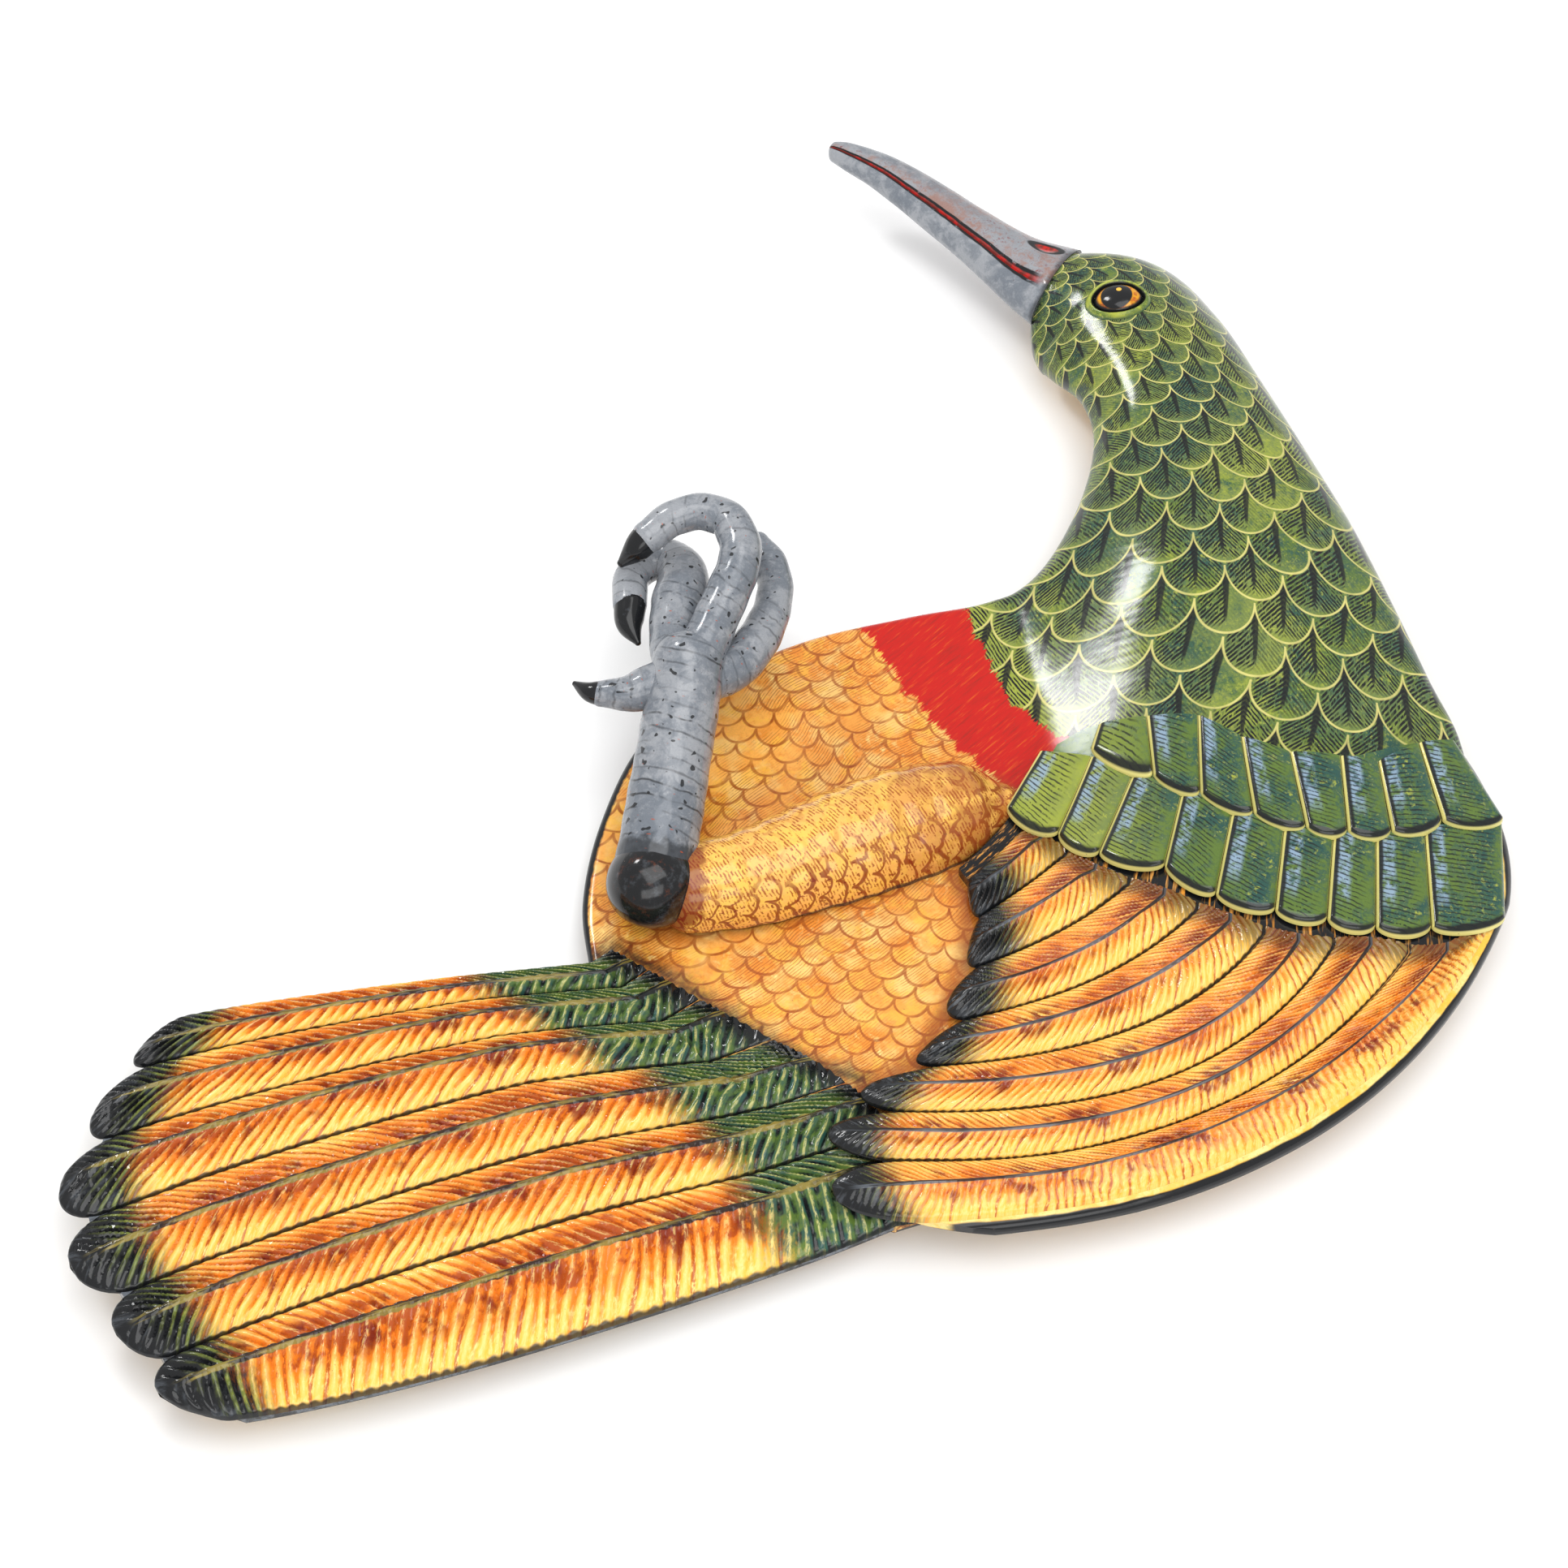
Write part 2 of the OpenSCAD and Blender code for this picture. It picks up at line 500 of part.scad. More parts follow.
module wing_sheet() {
    ss = concat(span(-1, 0, 5), [0.13, 0.28, 0.43, 0.58, 0.73, 0.87, 1]);
    vs = concat(span(0, 7, 14), [7.4, 7.7, 7.88, 7.97, 8]);
    color(wing_c) seat()
        layer([for (s = ss) [for (v = vs) wing_top(s > 0 ? s * wing_end(v) : s, v)]],
            [for (s = ss) [for (v = vs) wing_low(s > 0 ? s * wing_end(v) : s, v)]]);
}

// ---- leg: each piece stops at the face of the one that it is joined to
module knee_ball() {
    translate([knee_at[0], knee_at[1], knee_height]) sphere(d = knee_diameter, $fn = 40);
}

module shin_limb() {
    limb(shin_path, 6, 16);
}

module toe_limb(k) {
    limb(toes[k], toe_steps[k], 10);
}

// The thigh lies on the body sheet: its rings stop at the sheet's top face
module thigh_limb() {
    n = 14;
    q = [for (u = span(0, 1, n)) along(thigh_path, u)];
    c = [for (v = q) [v[0], v[1], v[2]]];
    rings = [for (i = [0:n])
        let (d = unit(c[min(n, i + 1)] - c[max(0, i - 1)]), s = unit([d[1], -d[0], 0]),
            r = q[i][3] * thigh_r)
        [for (j = [0:15])
            let (b = 22.5 * j, p = c[i] + r * (s * cos(b) + [0, 0, 1] * sin(b)))
            [p[0], p[1], max(p[2], body_z(p[0], p[1]))]]];
    hip = [c[0][0] + 4, c[0][1] + 1];
    skin(rings, [hip[0], hip[1], body_z(hip[0], hip[1]) + 2], c[n] + [-2, 0, 0]);
}

module toe(k) {
    color(grey_c) seat() difference() {
        toe_limb(k);
        shin_limb();
        for (j = [0:1:k - 1]) toe_limb(j);
    }
}

module claw(k) {
    color(dark_c) seat() difference() {
        limb(claws[k], 7, 10);
        toe_limb(k);
    }
}

module knee() {
    color(dark_c) seat() knee_ball();
}

module shin() {
    color(grey_c) seat() difference() {
        shin_limb();
        knee_ball();
    }
}

module thigh() {
    color(belly_c) seat() difference() {
        thigh_limb();
        knee_ball();
        shin_limb();
    }
}

module toe_middle() { toe(0); }
module toe_inner() { toe(1); }
module toe_outer() { toe(2); }
module toe_hind() { toe(3); }
module claw_middle() { claw(0); }
module claw_inner() { claw(1); }
module claw_hind() { claw(3); }

module tail_feather_1() { color(tail_c) seat() tail_feather(0); }
module tail_feather_2() { color(tail_c) seat() tail_feather(1); }
module tail_feather_3() { color(tail_c) seat() tail_feather(2); }
module tail_feather_4() { color(tail_c) seat() tail_feather(3); }
module tail_feather_5() { color(tail_c) seat() tail_feather(4); }
module tail_feather_6() { color(tail_c) seat() tail_feather(5); }

module wing_feather_1() { color(wing_c) seat() wing_feather(0); }
module wing_feather_2() { color(wing_c) seat() wing_feather(1); }
module wing_feather_3() { color(wing_c) seat() wing_feather(2); }
module wing_feather_4() { color(wing_c) seat() wing_feather(3); }
module wing_feather_5() { color(wing_c) seat() wing_feather(4); }
module wing_feather_6() { color(wing_c) seat() wing_feather(5); }
module wing_feather_7() { color(wing_c) seat() wing_feather(6); }

module lower_covert(j) { color(cover_c) seat() tile(lower_head, lower_tail, j, lower_lift); }
module lower_covert_1() { lower_covert(0); }
module lower_covert_2() { lower_covert(1); }
module lower_covert_3() { lower_covert(2); }
module lower_covert_4() { lower_covert(3); }
module lower_covert_5() { lower_covert(4); }
module lower_covert_6() { lower_covert(5); }
module lower_covert_7() { lower_covert(6); }
module lower_covert_8() { lower_covert(7); }
module lower_covert_9() { lower_covert(8); }

module upper_covert(j) { color(cover_c) seat() tile(upper_head, upper_tail, j, upper_lift); }
module upper_covert_1() { upper_covert(0); }
module upper_covert_2() { upper_covert(1); }
module upper_covert_3() { upper_covert(2); }
module upper_covert_4() { upper_covert(3); }
module upper_covert_5() { upper_covert(4); }
module upper_covert_6() { upper_covert(5); }
module upper_covert_7() { upper_covert(6); }
module upper_covert_8() { upper_covert(7); }

// ================= selection =================
body_sheet();
foot_ring();
neck();
head();
bill_upper();
bill_lower();
eyelid_ring();
eyeball();
tail_sheet();
tail_feather_1();
tail_feather_2();
tail_feather_3();
tail_feather_4();
tail_feather_5();
tail_feather_6();
wing_sheet();
wing_feather_1();
wing_feather_2();
wing_feather_3();
wing_feather_4();
wing_feather_5();
wing_feather_6();
wing_feather_7();
lower_covert_1();
lower_covert_2();
lower_covert_3();
lower_covert_4();
lower_covert_5();
lower_covert_6();
lower_covert_7();
lower_covert_8();
lower_covert_9();
upper_covert_1();
upper_covert_2();
upper_covert_3();
upper_covert_4();
upper_covert_5();
upper_covert_6();
upper_covert_7();
upper_covert_8();
thigh();
knee();
shin();
toe_middle();
toe_inner();
toe_outer();
toe_hind();
claw_middle();
claw_inner();
claw_hind();
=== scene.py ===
"""Looks of a hand-built, painted and glazed ceramic bird dish, on its CAD frame."""

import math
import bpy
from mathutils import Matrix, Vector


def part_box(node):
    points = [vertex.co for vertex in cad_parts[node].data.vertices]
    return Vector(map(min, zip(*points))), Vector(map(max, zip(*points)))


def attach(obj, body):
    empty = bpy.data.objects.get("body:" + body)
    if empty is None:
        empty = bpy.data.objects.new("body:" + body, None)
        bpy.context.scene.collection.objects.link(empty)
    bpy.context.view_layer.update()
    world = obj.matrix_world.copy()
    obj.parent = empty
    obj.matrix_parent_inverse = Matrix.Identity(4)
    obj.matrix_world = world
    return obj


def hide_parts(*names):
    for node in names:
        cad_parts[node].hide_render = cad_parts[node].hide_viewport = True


bl_info = {
    "name": "Ceramic Bird Dish",
    "version": (1, 0, 0),
    "blender": (4, 5, 0),
    "location": "3D View > Sidebar > Bird Dish",
    "description": "Models, paints and glazes a slab-built bird dish",
    "category": "Add Mesh",
}

from types import SimpleNamespace

import bmesh
import bpy
import numpy as np
from bpy.props import FloatProperty, FloatVectorProperty, PointerProperty
from mathutils import Vector

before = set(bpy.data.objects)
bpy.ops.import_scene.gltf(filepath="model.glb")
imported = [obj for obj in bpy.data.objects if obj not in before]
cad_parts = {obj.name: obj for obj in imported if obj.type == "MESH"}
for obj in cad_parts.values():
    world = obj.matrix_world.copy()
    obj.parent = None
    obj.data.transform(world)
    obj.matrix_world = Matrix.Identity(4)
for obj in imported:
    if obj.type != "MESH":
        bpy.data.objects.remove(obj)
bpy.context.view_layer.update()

# Plan shapes below are in millimetres, in the design's own plan, before SEAT moves them.
MM = 0.001
FOOT_AT = np.array([22.0, -52.0])
FOOT_LOW, FOOT_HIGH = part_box("foot_ring")
KNEE_LOW, KNEE_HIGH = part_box("knee")
SEAT = np.array([
    (FOOT_LOW.x + FOOT_HIGH.x) / 2 / MM - FOOT_AT[0],
    (FOOT_LOW.y + FOOT_HIGH.y) / 2 / MM - FOOT_AT[1],
    0.0,
])


def srgb(code):
    """Linear colour of a hexadecimal colour code."""
    parts = [int(code[i:i + 2], 16) / 255 for i in (0, 2, 4)]
    return tuple(c / 12.92 if c < 0.04045 else ((c + 0.055) / 1.055) ** 2.4 for c in parts)


# ---------------------------------------------------------------- settings

def length(name, description, default):
    """A length in metres that a user can change."""
    return FloatProperty(name=name, description=description, default=default, min=0.0,
                         subtype="DISTANCE", unit="LENGTH")


def colour(name, description, code):
    """A paint colour that a user can change."""
    return FloatVectorProperty(name=name, description=description, size=3, min=0.0, max=1.0,
                               subtype="COLOR", default=srgb(code))


class BIRD_PG_sizes(bpy.types.PropertyGroup):
    """Sizes of the clay pieces."""
    body_thick: length("Body sheet", "Thickness of the body sheet", 0.008)
    foot_height: length("Foot height", "Height of the foot ring", FOOT_HIGH.z - FOOT_LOW.z)
    foot_diameter: length("Foot diameter", "Outside of the foot ring", FOOT_HIGH.x - FOOT_LOW.x)
    foot_wall: length("Foot wall", "Wall of the foot ring", 0.010)
    head_thick: length("Head", "Thickness of the head at the bill", 0.022)
    neck_round: length("Neck edge", "Rounding along the edge of the neck", 0.015)
    bill_half: length("Bill", "Half height of the bill at the head", 0.0105)
    bill_tip_half: length("Bill tip", "Half height of the bill at its tip", 0.004)
    eye_length: length("Eye", "Length of the eye", 0.018)
    eye_bulge: length("Eye bulge", "Height of the eyeball over the head", 0.003)
    lid_width: length("Eyelid", "Width of the eyelid", 0.003)
    tail_thick: length("Tail sheet", "Thickness of the tail sheet", 0.005)
    tail_arch: length("Tail arch", "Height of the arch across the tail", 0.011)
    tail_feather: length("Tail feather", "Thickness of a tail feather", 0.004)
    wing_thick: length("Wing sheet", "Thickness of the wing sheet", 0.0045)
    wing_feather: length("Wing feather", "Thickness of a wing feather", 0.004)
    covert_thick: length("Covert", "Thickness of a covert at its tip", 0.0032)
    knee_diameter: length("Knee", "Diameter of the knee", KNEE_HIGH.z - KNEE_LOW.z)
    knee_height: length("Knee height", "Height of the middle of the knee",
                        (KNEE_HIGH.z + KNEE_LOW.z) / 2)
    shin_diameter: length("Shin", "Diameter of the shin", 0.025)
    ankle_height: length("Ankle height", "Height of the ankle", 0.054)
    thigh_diameter: length("Thigh", "Diameter of the thigh", 0.038)
    toe_diameter: length("Toe", "Diameter of a toe at its root", 0.015)
    rib_height: length("Barb ribs", "Height of the cut barbs on the tail", 0.0009)
    wing_rib_height: length("Wing ribs", "Height of the cut barbs on the wing", 0.0005)
    barb_pitch: length("Barb pitch", "Distance between barbs along a tail quill", 0.0046)
    wing_pitch: length("Wing barb pitch", "Distance between barbs along a wing quill", 0.0029)


class BIRD_PG_colours(bpy.types.PropertyGroup):
    """Colours of the paint under the glaze."""
    orange: colour("Belly orange", "Main colour of the belly", "F6AE52")
    amber: colour("Belly amber", "Darker wash on the belly", "E48C34")
    cream: colour("Cream", "Palest wash on belly and feathers", "FADB88")
    brown: colour("Brown line", "Line round the belly scales", "9A4A1C")
    red: colour("Breast red", "Band across the breast", "C01A12")
    green: colour("Green", "Main colour of head and neck", "5A7232")
    teal: colour("Teal", "Darkest wash on head and neck", "2B5048")
    lime: colour("Lime", "Palest wash on head and neck", "A6AE42")
    straw: colour("Straw line", "Line round the neck scales and coverts", "D9CF7E")
    ink: colour("Ink", "Black brush lines", "17181A")
    yellow: colour("Feather yellow", "Palest barbs", "F8BF48")
    tawny: colour("Feather orange", "Main strokes on the feathers", "E67F22")
    rust: colour("Rust", "Dark strokes on the feathers", "A8481E")
    maroon: colour("Maroon", "Darkest strokes on the feathers", "7C2417")
    olive: colour("Olive", "Quills", "8C7C3A")
    blue: colour("Covert blue", "Streak along each covert", "8FA6BE")
    grey: colour("Leg grey", "Shin, toes and lower bill", "93969B")
    slate: colour("Slate", "Shadow wash on grey", "6E747C")
    pink: colour("Bill brown", "Upper bill", "94766E")
    iris: colour("Iris", "Ring of the eye", "DD9A1E")
    clay: colour("Clay", "Bare foot ring", "C9A27C")


# Below, k holds the sizes in millimetres, c the colours, and p adds nodes to a node tree.

def in_mm(lengths):
    """A PropertyGroup's lengths as plain millimetres."""
    return SimpleNamespace(**{n: getattr(lengths, n) / MM for n in lengths.__annotations__})


def paints(context):
    """The paint colours as RGBA tuples."""
    chosen = context.scene.bird_colours
    return SimpleNamespace(**{n: (*getattr(chosen, n), 1.0) for n in chosen.__annotations__})


# ---------------------------------------------------------------- curves

def curve(points, u):
    """Smooth curve through points, at u from 0 to len(points) - 1."""
    p = np.asarray(points, float)
    flat = p.ndim == 1
    if flat:
        p = p[:, None]
    u = np.asarray(u, float)
    full = np.vstack([2 * p[0] - p[1], p, 2 * p[-1] - p[-2]])
    i = np.clip(np.floor(u), 0, len(p) - 2).astype(int)
    t = (u - i)[..., None]
    a, b, c, d = full[i], full[i + 1], full[i + 2], full[i + 3]
    out = 0.5 * (2 * b + (c - a) * t + (2 * a - 5 * b + 4 * c - d) * t ** 2
                 + (3 * b - a - 3 * c + d) * t ** 3)
    return out[..., 0] if flat else out


def along(points, u):
    """The same with u from 0 to 1."""
    return curve(points, np.asarray(u) * (len(points) - 1))


def mix(a, b, t):
    """Straight blend from a to b."""
    return a + (b - a) * t


def ramp(x, low, high):
    """Smooth step from 0 at low to 1 at high."""
    t = np.clip((np.asarray(x, float) - low) / (high - low), 0, 1)
    return t * t * (3 - 2 * t)


def bow(a, b, c, u):
    """Quadratic through three points at u = 0, 0.5 and 1."""
    u = np.asarray(u)[..., None]
    return a * (1 - u) * (1 - 2 * u) + b * 4 * u * (1 - u) + c * u * (2 * u - 1)


def roundover(edge, radius):
    """Quarter-round: 0 at the edge, 1 at the radius and further in."""
    return np.sqrt(np.maximum(0, 1 - (1 - np.clip(edge / radius, 0, 1)) ** 2))


def ends(n, dense=0.08, share=0.3):
    """Positions from 0 to 1, close together near both ends."""
    k = max(3, int(n * share / 2))
    head = dense * (np.arange(k) / k) ** 1.8
    middle = np.linspace(dense, 1 - dense, n - 2 * k)
    return np.concatenate([head, middle, 1 - head[::-1]])


def uneven(x, y, size=60.0):
    """Slow unevenness of hand-pressed clay, about -1 to 1."""
    a = np.sin(x / size * 6.1 + 1.3 * np.sin(y / size * 3.7))
    b = np.sin(y / size * 5.3 + 0.9 * np.sin(x / size * 4.9) + 2.0)
    return 0.5 * (a * b + np.sin((x + y) / size * 2.3 + 0.7))


# ---------------------------------------------------------------- body surface

RIDGE = [(84, 188, 20, 38), (108, 182, 26, 46), (124, 158, 28, 52), (136, 128, 28, 58),
         (143, 95, 29, 68), (150, 58, 30, 78), (160, 14, 25, 84), (165, -32, 20, 84),
         (156, -78, 17, 86), (126, -118, 13, 80), (78, -146, 9, 70), (26, -160, 5, 55)]
RIDGE_LINE = along(RIDGE, np.linspace(0, 1, 150))
LEFT_EDGE = [(-73, -98), (-76, -72), (-71, -40), (-58, -6), (-34, 20), (-2, 38), (34, 49),
             (62, 56), (83, 68), (98, 94), (104, 120), (100, 140), (90, 155), (84, 166), (83, 173)]
RIGHT_EDGE = [(28, -198), (88, -179), (142, -155), (187, -122), (214, -84), (226, -46),
              (225, -12), (216, 14), (206, 46), (194, 82), (180, 116), (166, 149), (153, 180),
              (136, 202), (103, 206)]
EDGE_ROUND = [6, 6, 6, 6, 6, 6, 7, 9, 12, 15, 15, 15, 15, 15, 15]
EXTRA_THICK = [0, 0, 0, 0, 0, 0, 0, 0, 1, 3, 5, 8, 10, 13, 14]
BODY_END, NECK_END, HEAD_END = 7.0, 11.2, 14.0
FLAT_RADIUS = 100.0
DISH_RISE = 1.2
HAND_UNEVEN = 0.25
# The underside of the body thins from the foot ring outwards over this distance
FOOT_BLEND = 30.0
FOOT_MARGIN = 4.0
LOW_ROUND = 5.0
# Points handled at a time where each is compared with a whole line
BATCH = 20000


def dish_z(k, x, y):
    """Height of the shallow dish."""
    out = np.hypot(x - FOOT_AT[0], y - FOOT_AT[1]) - FLAT_RADIUS
    return k.foot_height + k.body_thick + DISH_RISE * (np.maximum(0, out) / 100) ** 2


def ridge_z(x, y):
    """Height of the ridge from the head down into the wing."""
    shape = np.shape(x)
    px = np.ravel(x)
    py = np.ravel(y)
    out = np.zeros(px.size)
    for start in range(0, px.size, BATCH):
        part = slice(start, start + BATCH)
        dx = px[part, None] - RIDGE_LINE[:, 0]
        dy = py[part, None] - RIDGE_LINE[:, 1]
        m2 = (dx * dx + dy * dy) / RIDGE_LINE[:, 3] ** 2
        near = m2.min(1, keepdims=True)
        w = np.exp(-90 * (m2 - near))
        w /= w.sum(1, keepdims=True)
        height = (w * RIDGE_LINE[:, 2]).sum(1)
        out[part] = height * np.maximum(0, 1 - near[:, 0]) ** 1.4
    return out.reshape(shape)


def body_z(k, x, y):
    """Height of the top of body, neck and head, with the unevenness of hand work."""
    return dish_z(k, x, y) + ridge_z(x, y) + HAND_UNEVEN * uneven(x, y)


def trunk(k, q0, q1, rows, columns):
    """Top and underside grids of a stretch of body, neck or head, with their coordinates."""
    q, t = np.meshgrid(np.linspace(q0, q1, rows), ends(columns, 0.07), indexing="ij")
    left, right = curve(LEFT_EDGE, q), curve(RIGHT_EDGE, q)
    p = mix(left, right, t[..., None])
    width = np.linalg.norm(right - left, axis=-1)
    inset = width * np.minimum(t, 1 - t)
    radius = curve(EDGE_ROUND, q)
    z = body_z(k, p[..., 0], p[..., 1])
    nose = z - 0.5 * radius
    top = z - 0.5 * radius * (1 - roundover(inset, radius))
    floor = np.maximum(k.foot_height, z - k.body_thick - curve(EXTRA_THICK, q))
    out = np.linalg.norm(p - FOOT_AT, axis=-1) - k.foot_diameter / 2 - FOOT_MARGIN
    low = mix(k.foot_height, floor, np.clip(out / FOOT_BLEND, 0, 1))
    low = mix(np.minimum(nose, top - 1), np.minimum(low, top - 1), roundover(inset, LOW_ROUND))
    low = np.where(inset < 0.01, top, low)
    return SimpleNamespace(q=q, t=t, p=p, width=width, inset=inset,
                           top=np.dstack([p, top]), low=np.dstack([p, low]))


def line_distance(points, x, y):
    """Signed distance to a bent line, positive on its right as it is walked."""
    best = np.full(np.shape(x), 1e9)
    sign = np.ones(np.shape(x))
    for a, b in zip(points[:-1], points[1:]):
        ab = np.subtract(b, a)
        s = np.clip(((x - a[0]) * ab[0] + (y - a[1]) * ab[1]) / (ab @ ab), 0, 1)
        dx, dy = x - a[0] - s * ab[0], y - a[1] - s * ab[1]
        d = np.hypot(dx, dy)
        side = np.sign(dx * ab[1] - dy * ab[0])
        closer = d < best
        best = np.where(closer, d, best)
        sign = np.where(closer, side, sign)
    return best * np.where(sign == 0, 1, sign)


# ---------------------------------------------------------------- meshes

class Sheet:
    """Vertices, faces and coordinates of one piece, gathered grid by grid."""

    def __init__(self):
        self.verts, self.faces, self.maps = [], [], {}
        self.count = 0

    def grid(self, points, maps, flip=False):
        """Adds a grid of points; maps holds one (u, v) pair of arrays for each coordinate."""
        m, n = points.shape[:2]
        ids = self.count + np.arange(m * n).reshape(m, n)
        a, b = ids[:-1, :-1].ravel(), ids[1:, :-1].ravel()
        c, d = ids[1:, 1:].ravel(), ids[:-1, 1:].ravel()
        quads = np.stack([a, d, c, b] if flip else [a, b, c, d], 1)
        self.verts.append(points.reshape(-1, 3))
        self.faces.append(quads)
        for name, (u, v) in maps.items():
            pair = np.dstack([np.broadcast_to(u, (m, n)), np.broadcast_to(v, (m, n))])
            self.maps.setdefault(name, []).append(pair.reshape(-1, 2))
        self.count += m * n
        return ids

    def wall(self, one, other):
        """Quads between two rows of vertex numbers."""
        quads = np.stack([one[:-1], one[1:], other[1:], other[:-1]], 1)
        self.faces.append(quads)

    def closed(self, top, low, maps, low_maps=None, ring=False):
        """A top grid and an underside grid joined round their border, or a ring of them."""
        facing = np.cross(top[1:, :-1] - top[:-1, :-1], top[:-1, 1:] - top[:-1, :-1])
        flip = facing[..., 2].sum() < 0
        a = self.grid(top, maps, flip)
        b = self.grid(low, low_maps or maps, not flip)
        sides = [(a[0], b[0], False), (a[-1], b[-1], True),
                 (a[:, 0], b[:, 0], True), (a[:, -1], b[:, -1], False)]
        for upper, lower, turn in sides[2:] if ring else sides:
            if turn != flip:
                upper, lower = lower, upper
            self.wall(upper, lower)

    def build(self, name, material, nodes, slot):
        """Makes the object, joins coincident points and puts it in the frame."""
        verts = (np.vstack(self.verts) + SEAT) * MM
        faces = np.vstack(self.faces)
        mesh = bpy.data.meshes.new(name)
        mesh.vertices.add(len(verts))
        mesh.vertices.foreach_set("co", verts.ravel())
        mesh.loops.add(faces.size)
        mesh.loops.foreach_set("vertex_index", faces.ravel())
        mesh.polygons.add(len(faces))
        mesh.polygons.foreach_set("loop_start", np.arange(len(faces)) * 4)
        mesh.update(calc_edges=True)
        for map_name, parts in self.maps.items():
            layer = mesh.uv_layers.new(name=map_name)
            pairs = np.vstack(parts)[faces.ravel()]
            layer.data.foreach_set("uv", pairs.ravel())
        tidy = bmesh_join(mesh)
        tidy.polygons.foreach_set("use_smooth", np.ones(len(tidy.polygons), bool))
        tidy.set_sharp_from_angle(angle=math.radians(50))
        tidy.materials.append(material)
        piece = bpy.data.objects.new(name, tidy)
        bpy.context.scene.collection.objects.link(piece)
        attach(piece, "root")
        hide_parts(*nodes)
        return piece


def bmesh_join(mesh, gap=2e-6):
    """Joins points that coincide and drops faces with no area."""
    work = bmesh.new()
    work.from_mesh(mesh)
    bmesh.ops.remove_doubles(work, verts=work.verts, dist=gap)
    bmesh.ops.dissolve_degenerate(work, edges=work.edges, dist=gap / 2)
    bmesh.ops.recalc_face_normals(work, faces=work.faces)
    work.to_mesh(mesh)
    work.free()
    return mesh


def rings(points, sides):
    """Unit rings round a bent line, their angles, and the line's direction."""
    d = np.gradient(points, axis=0)
    d /= np.linalg.norm(d, axis=1, keepdims=True)
    s = np.cross(d, [0.13, 0.21, 1.0])
    s /= np.linalg.norm(s, axis=1, keepdims=True)
    w = np.cross(s, d)
    angle = np.linspace(0, 2 * np.pi, sides + 1)
    ring = (s[:, None] * np.cos(angle)[None, :, None]
            + w[:, None] * np.sin(angle)[None, :, None])
    return ring, angle, d


def limb(path, steps, sides, swell):
    """A round limb along [x, y, z, radius] points, with rounded ends."""
    q = along(path, np.linspace(0, 1, steps))
    centre, radius = q[:, :3], q[:, 3].copy()
    ring, angle, d = rings(centre, sides)
    run = np.concatenate([[0], np.cumsum(np.linalg.norm(np.diff(centre, axis=0), axis=1))])
    bumps = swell(run[:, None], angle[None, :])
    body = centre[:, None] + ring * (radius[:, None] + bumps)[..., None]
    rows, runs = [body], [np.broadcast_to(run[:, None], body.shape[:2])]
    for at, order, out in ((0, -1, -1.0), (steps - 1, 1, 1.0)):
        turns = np.linspace(0, np.pi / 2, 9)[1:]
        r0 = radius[at] + bumps[at]
        cap = np.stack([centre[at] + ring[at] * (r0 * math.cos(t))[:, None]
                        + out * d[at] * 0.8 * radius[at] * math.sin(t) for t in turns])
        cap_run = np.stack([np.full(sides + 1, run[at] + out * 0.8 * radius[at] * math.sin(t))
                            for t in turns])
        if order < 0:
            rows.insert(0, cap[::-1])
            runs.insert(0, cap_run[::-1])
        else:
            rows.append(cap)
            runs.append(cap_run)
    around = np.broadcast_to(angle / (2 * np.pi), (sum(len(r) for r in rows), sides + 1))
    return np.vstack(rows), np.vstack(runs), around


# ---------------------------------------------------------------- bill and eye

BILL_TOP = [(103, 206), (86, 212), (68, 225), (50, 240), (33, 252), (18, 258), (10, 258)]
BILL_LOW = [(83, 173), (74, 183), (59, 202), (42, 221), (26, 238), (14, 248), (8, 253)]
BILL_OVER_DISH, BILL_CLIMB = 15, 4
# Depth of the groove between the halves and of the nostril
GAPE_CUT, NOSTRIL_CUT = 1.1, 1.0
GAPE = 0.42
NOSTRIL = (0.10, -0.52)
EYE_AT = np.array([114.0, 171.0])


def bill_point(k, s, w, side):
    """A point on the bill: s from head to tip, w from upper to lower edge."""
    tip = np.sqrt(np.maximum(0.0, 1 - np.clip((s - 0.95) / 0.05, 0, 1) ** 2))
    a, b = along(BILL_TOP, s), along(BILL_LOW, s)
    p = mix(a, b, ((w * np.maximum(tip, 0.02) + 1) / 2)[..., None])
    half = mix(k.bill_half, k.bill_tip_half, s ** 0.8)
    height = half * np.sqrt(np.maximum(0, 1 - w * w)) * tip
    cut = np.exp(-((w - GAPE) / 0.045) ** 2) * ramp(s, 0.0, 0.06)
    dent_at = ((s - NOSTRIL[0]) / 0.035) ** 2 + ((w - NOSTRIL[1]) / 0.13) ** 2
    dent = np.exp(-dent_at) if side > 0 else 0
    ripple = HAND_UNEVEN * uneven(p[..., 0] * 2, p[..., 1] * 2)
    middle = k.foot_height + k.body_thick + BILL_OVER_DISH + BILL_CLIMB * s
    z = middle + side * (height - GAPE_CUT * cut * tip + ripple * tip) - NOSTRIL_CUT * dent * tip
    return np.dstack([p, z])


def bill_half(k, w0, w1):
    """One half of the bill, a closed piece between two positions across."""
    sheet = Sheet()
    turn = np.linspace(0, 1, 44)
    bend = np.sin(turn * np.pi / 2)
    w = mix(w1, w0, bend)[::-1] if w0 < -0.9 else mix(w0, w1, bend)
    s, w = np.meshgrid(1 - (1 - np.linspace(0, 1, 170)) ** 1.3, w, indexing="ij")
    top, low = bill_point(k, s, w, 1), bill_point(k, s, w, -1)
    sheet.closed(top, low, {"bill": (s, w), "side": (1.0, 0)}, {"bill": (s, w), "side": (0.0, 0)})
    return sheet


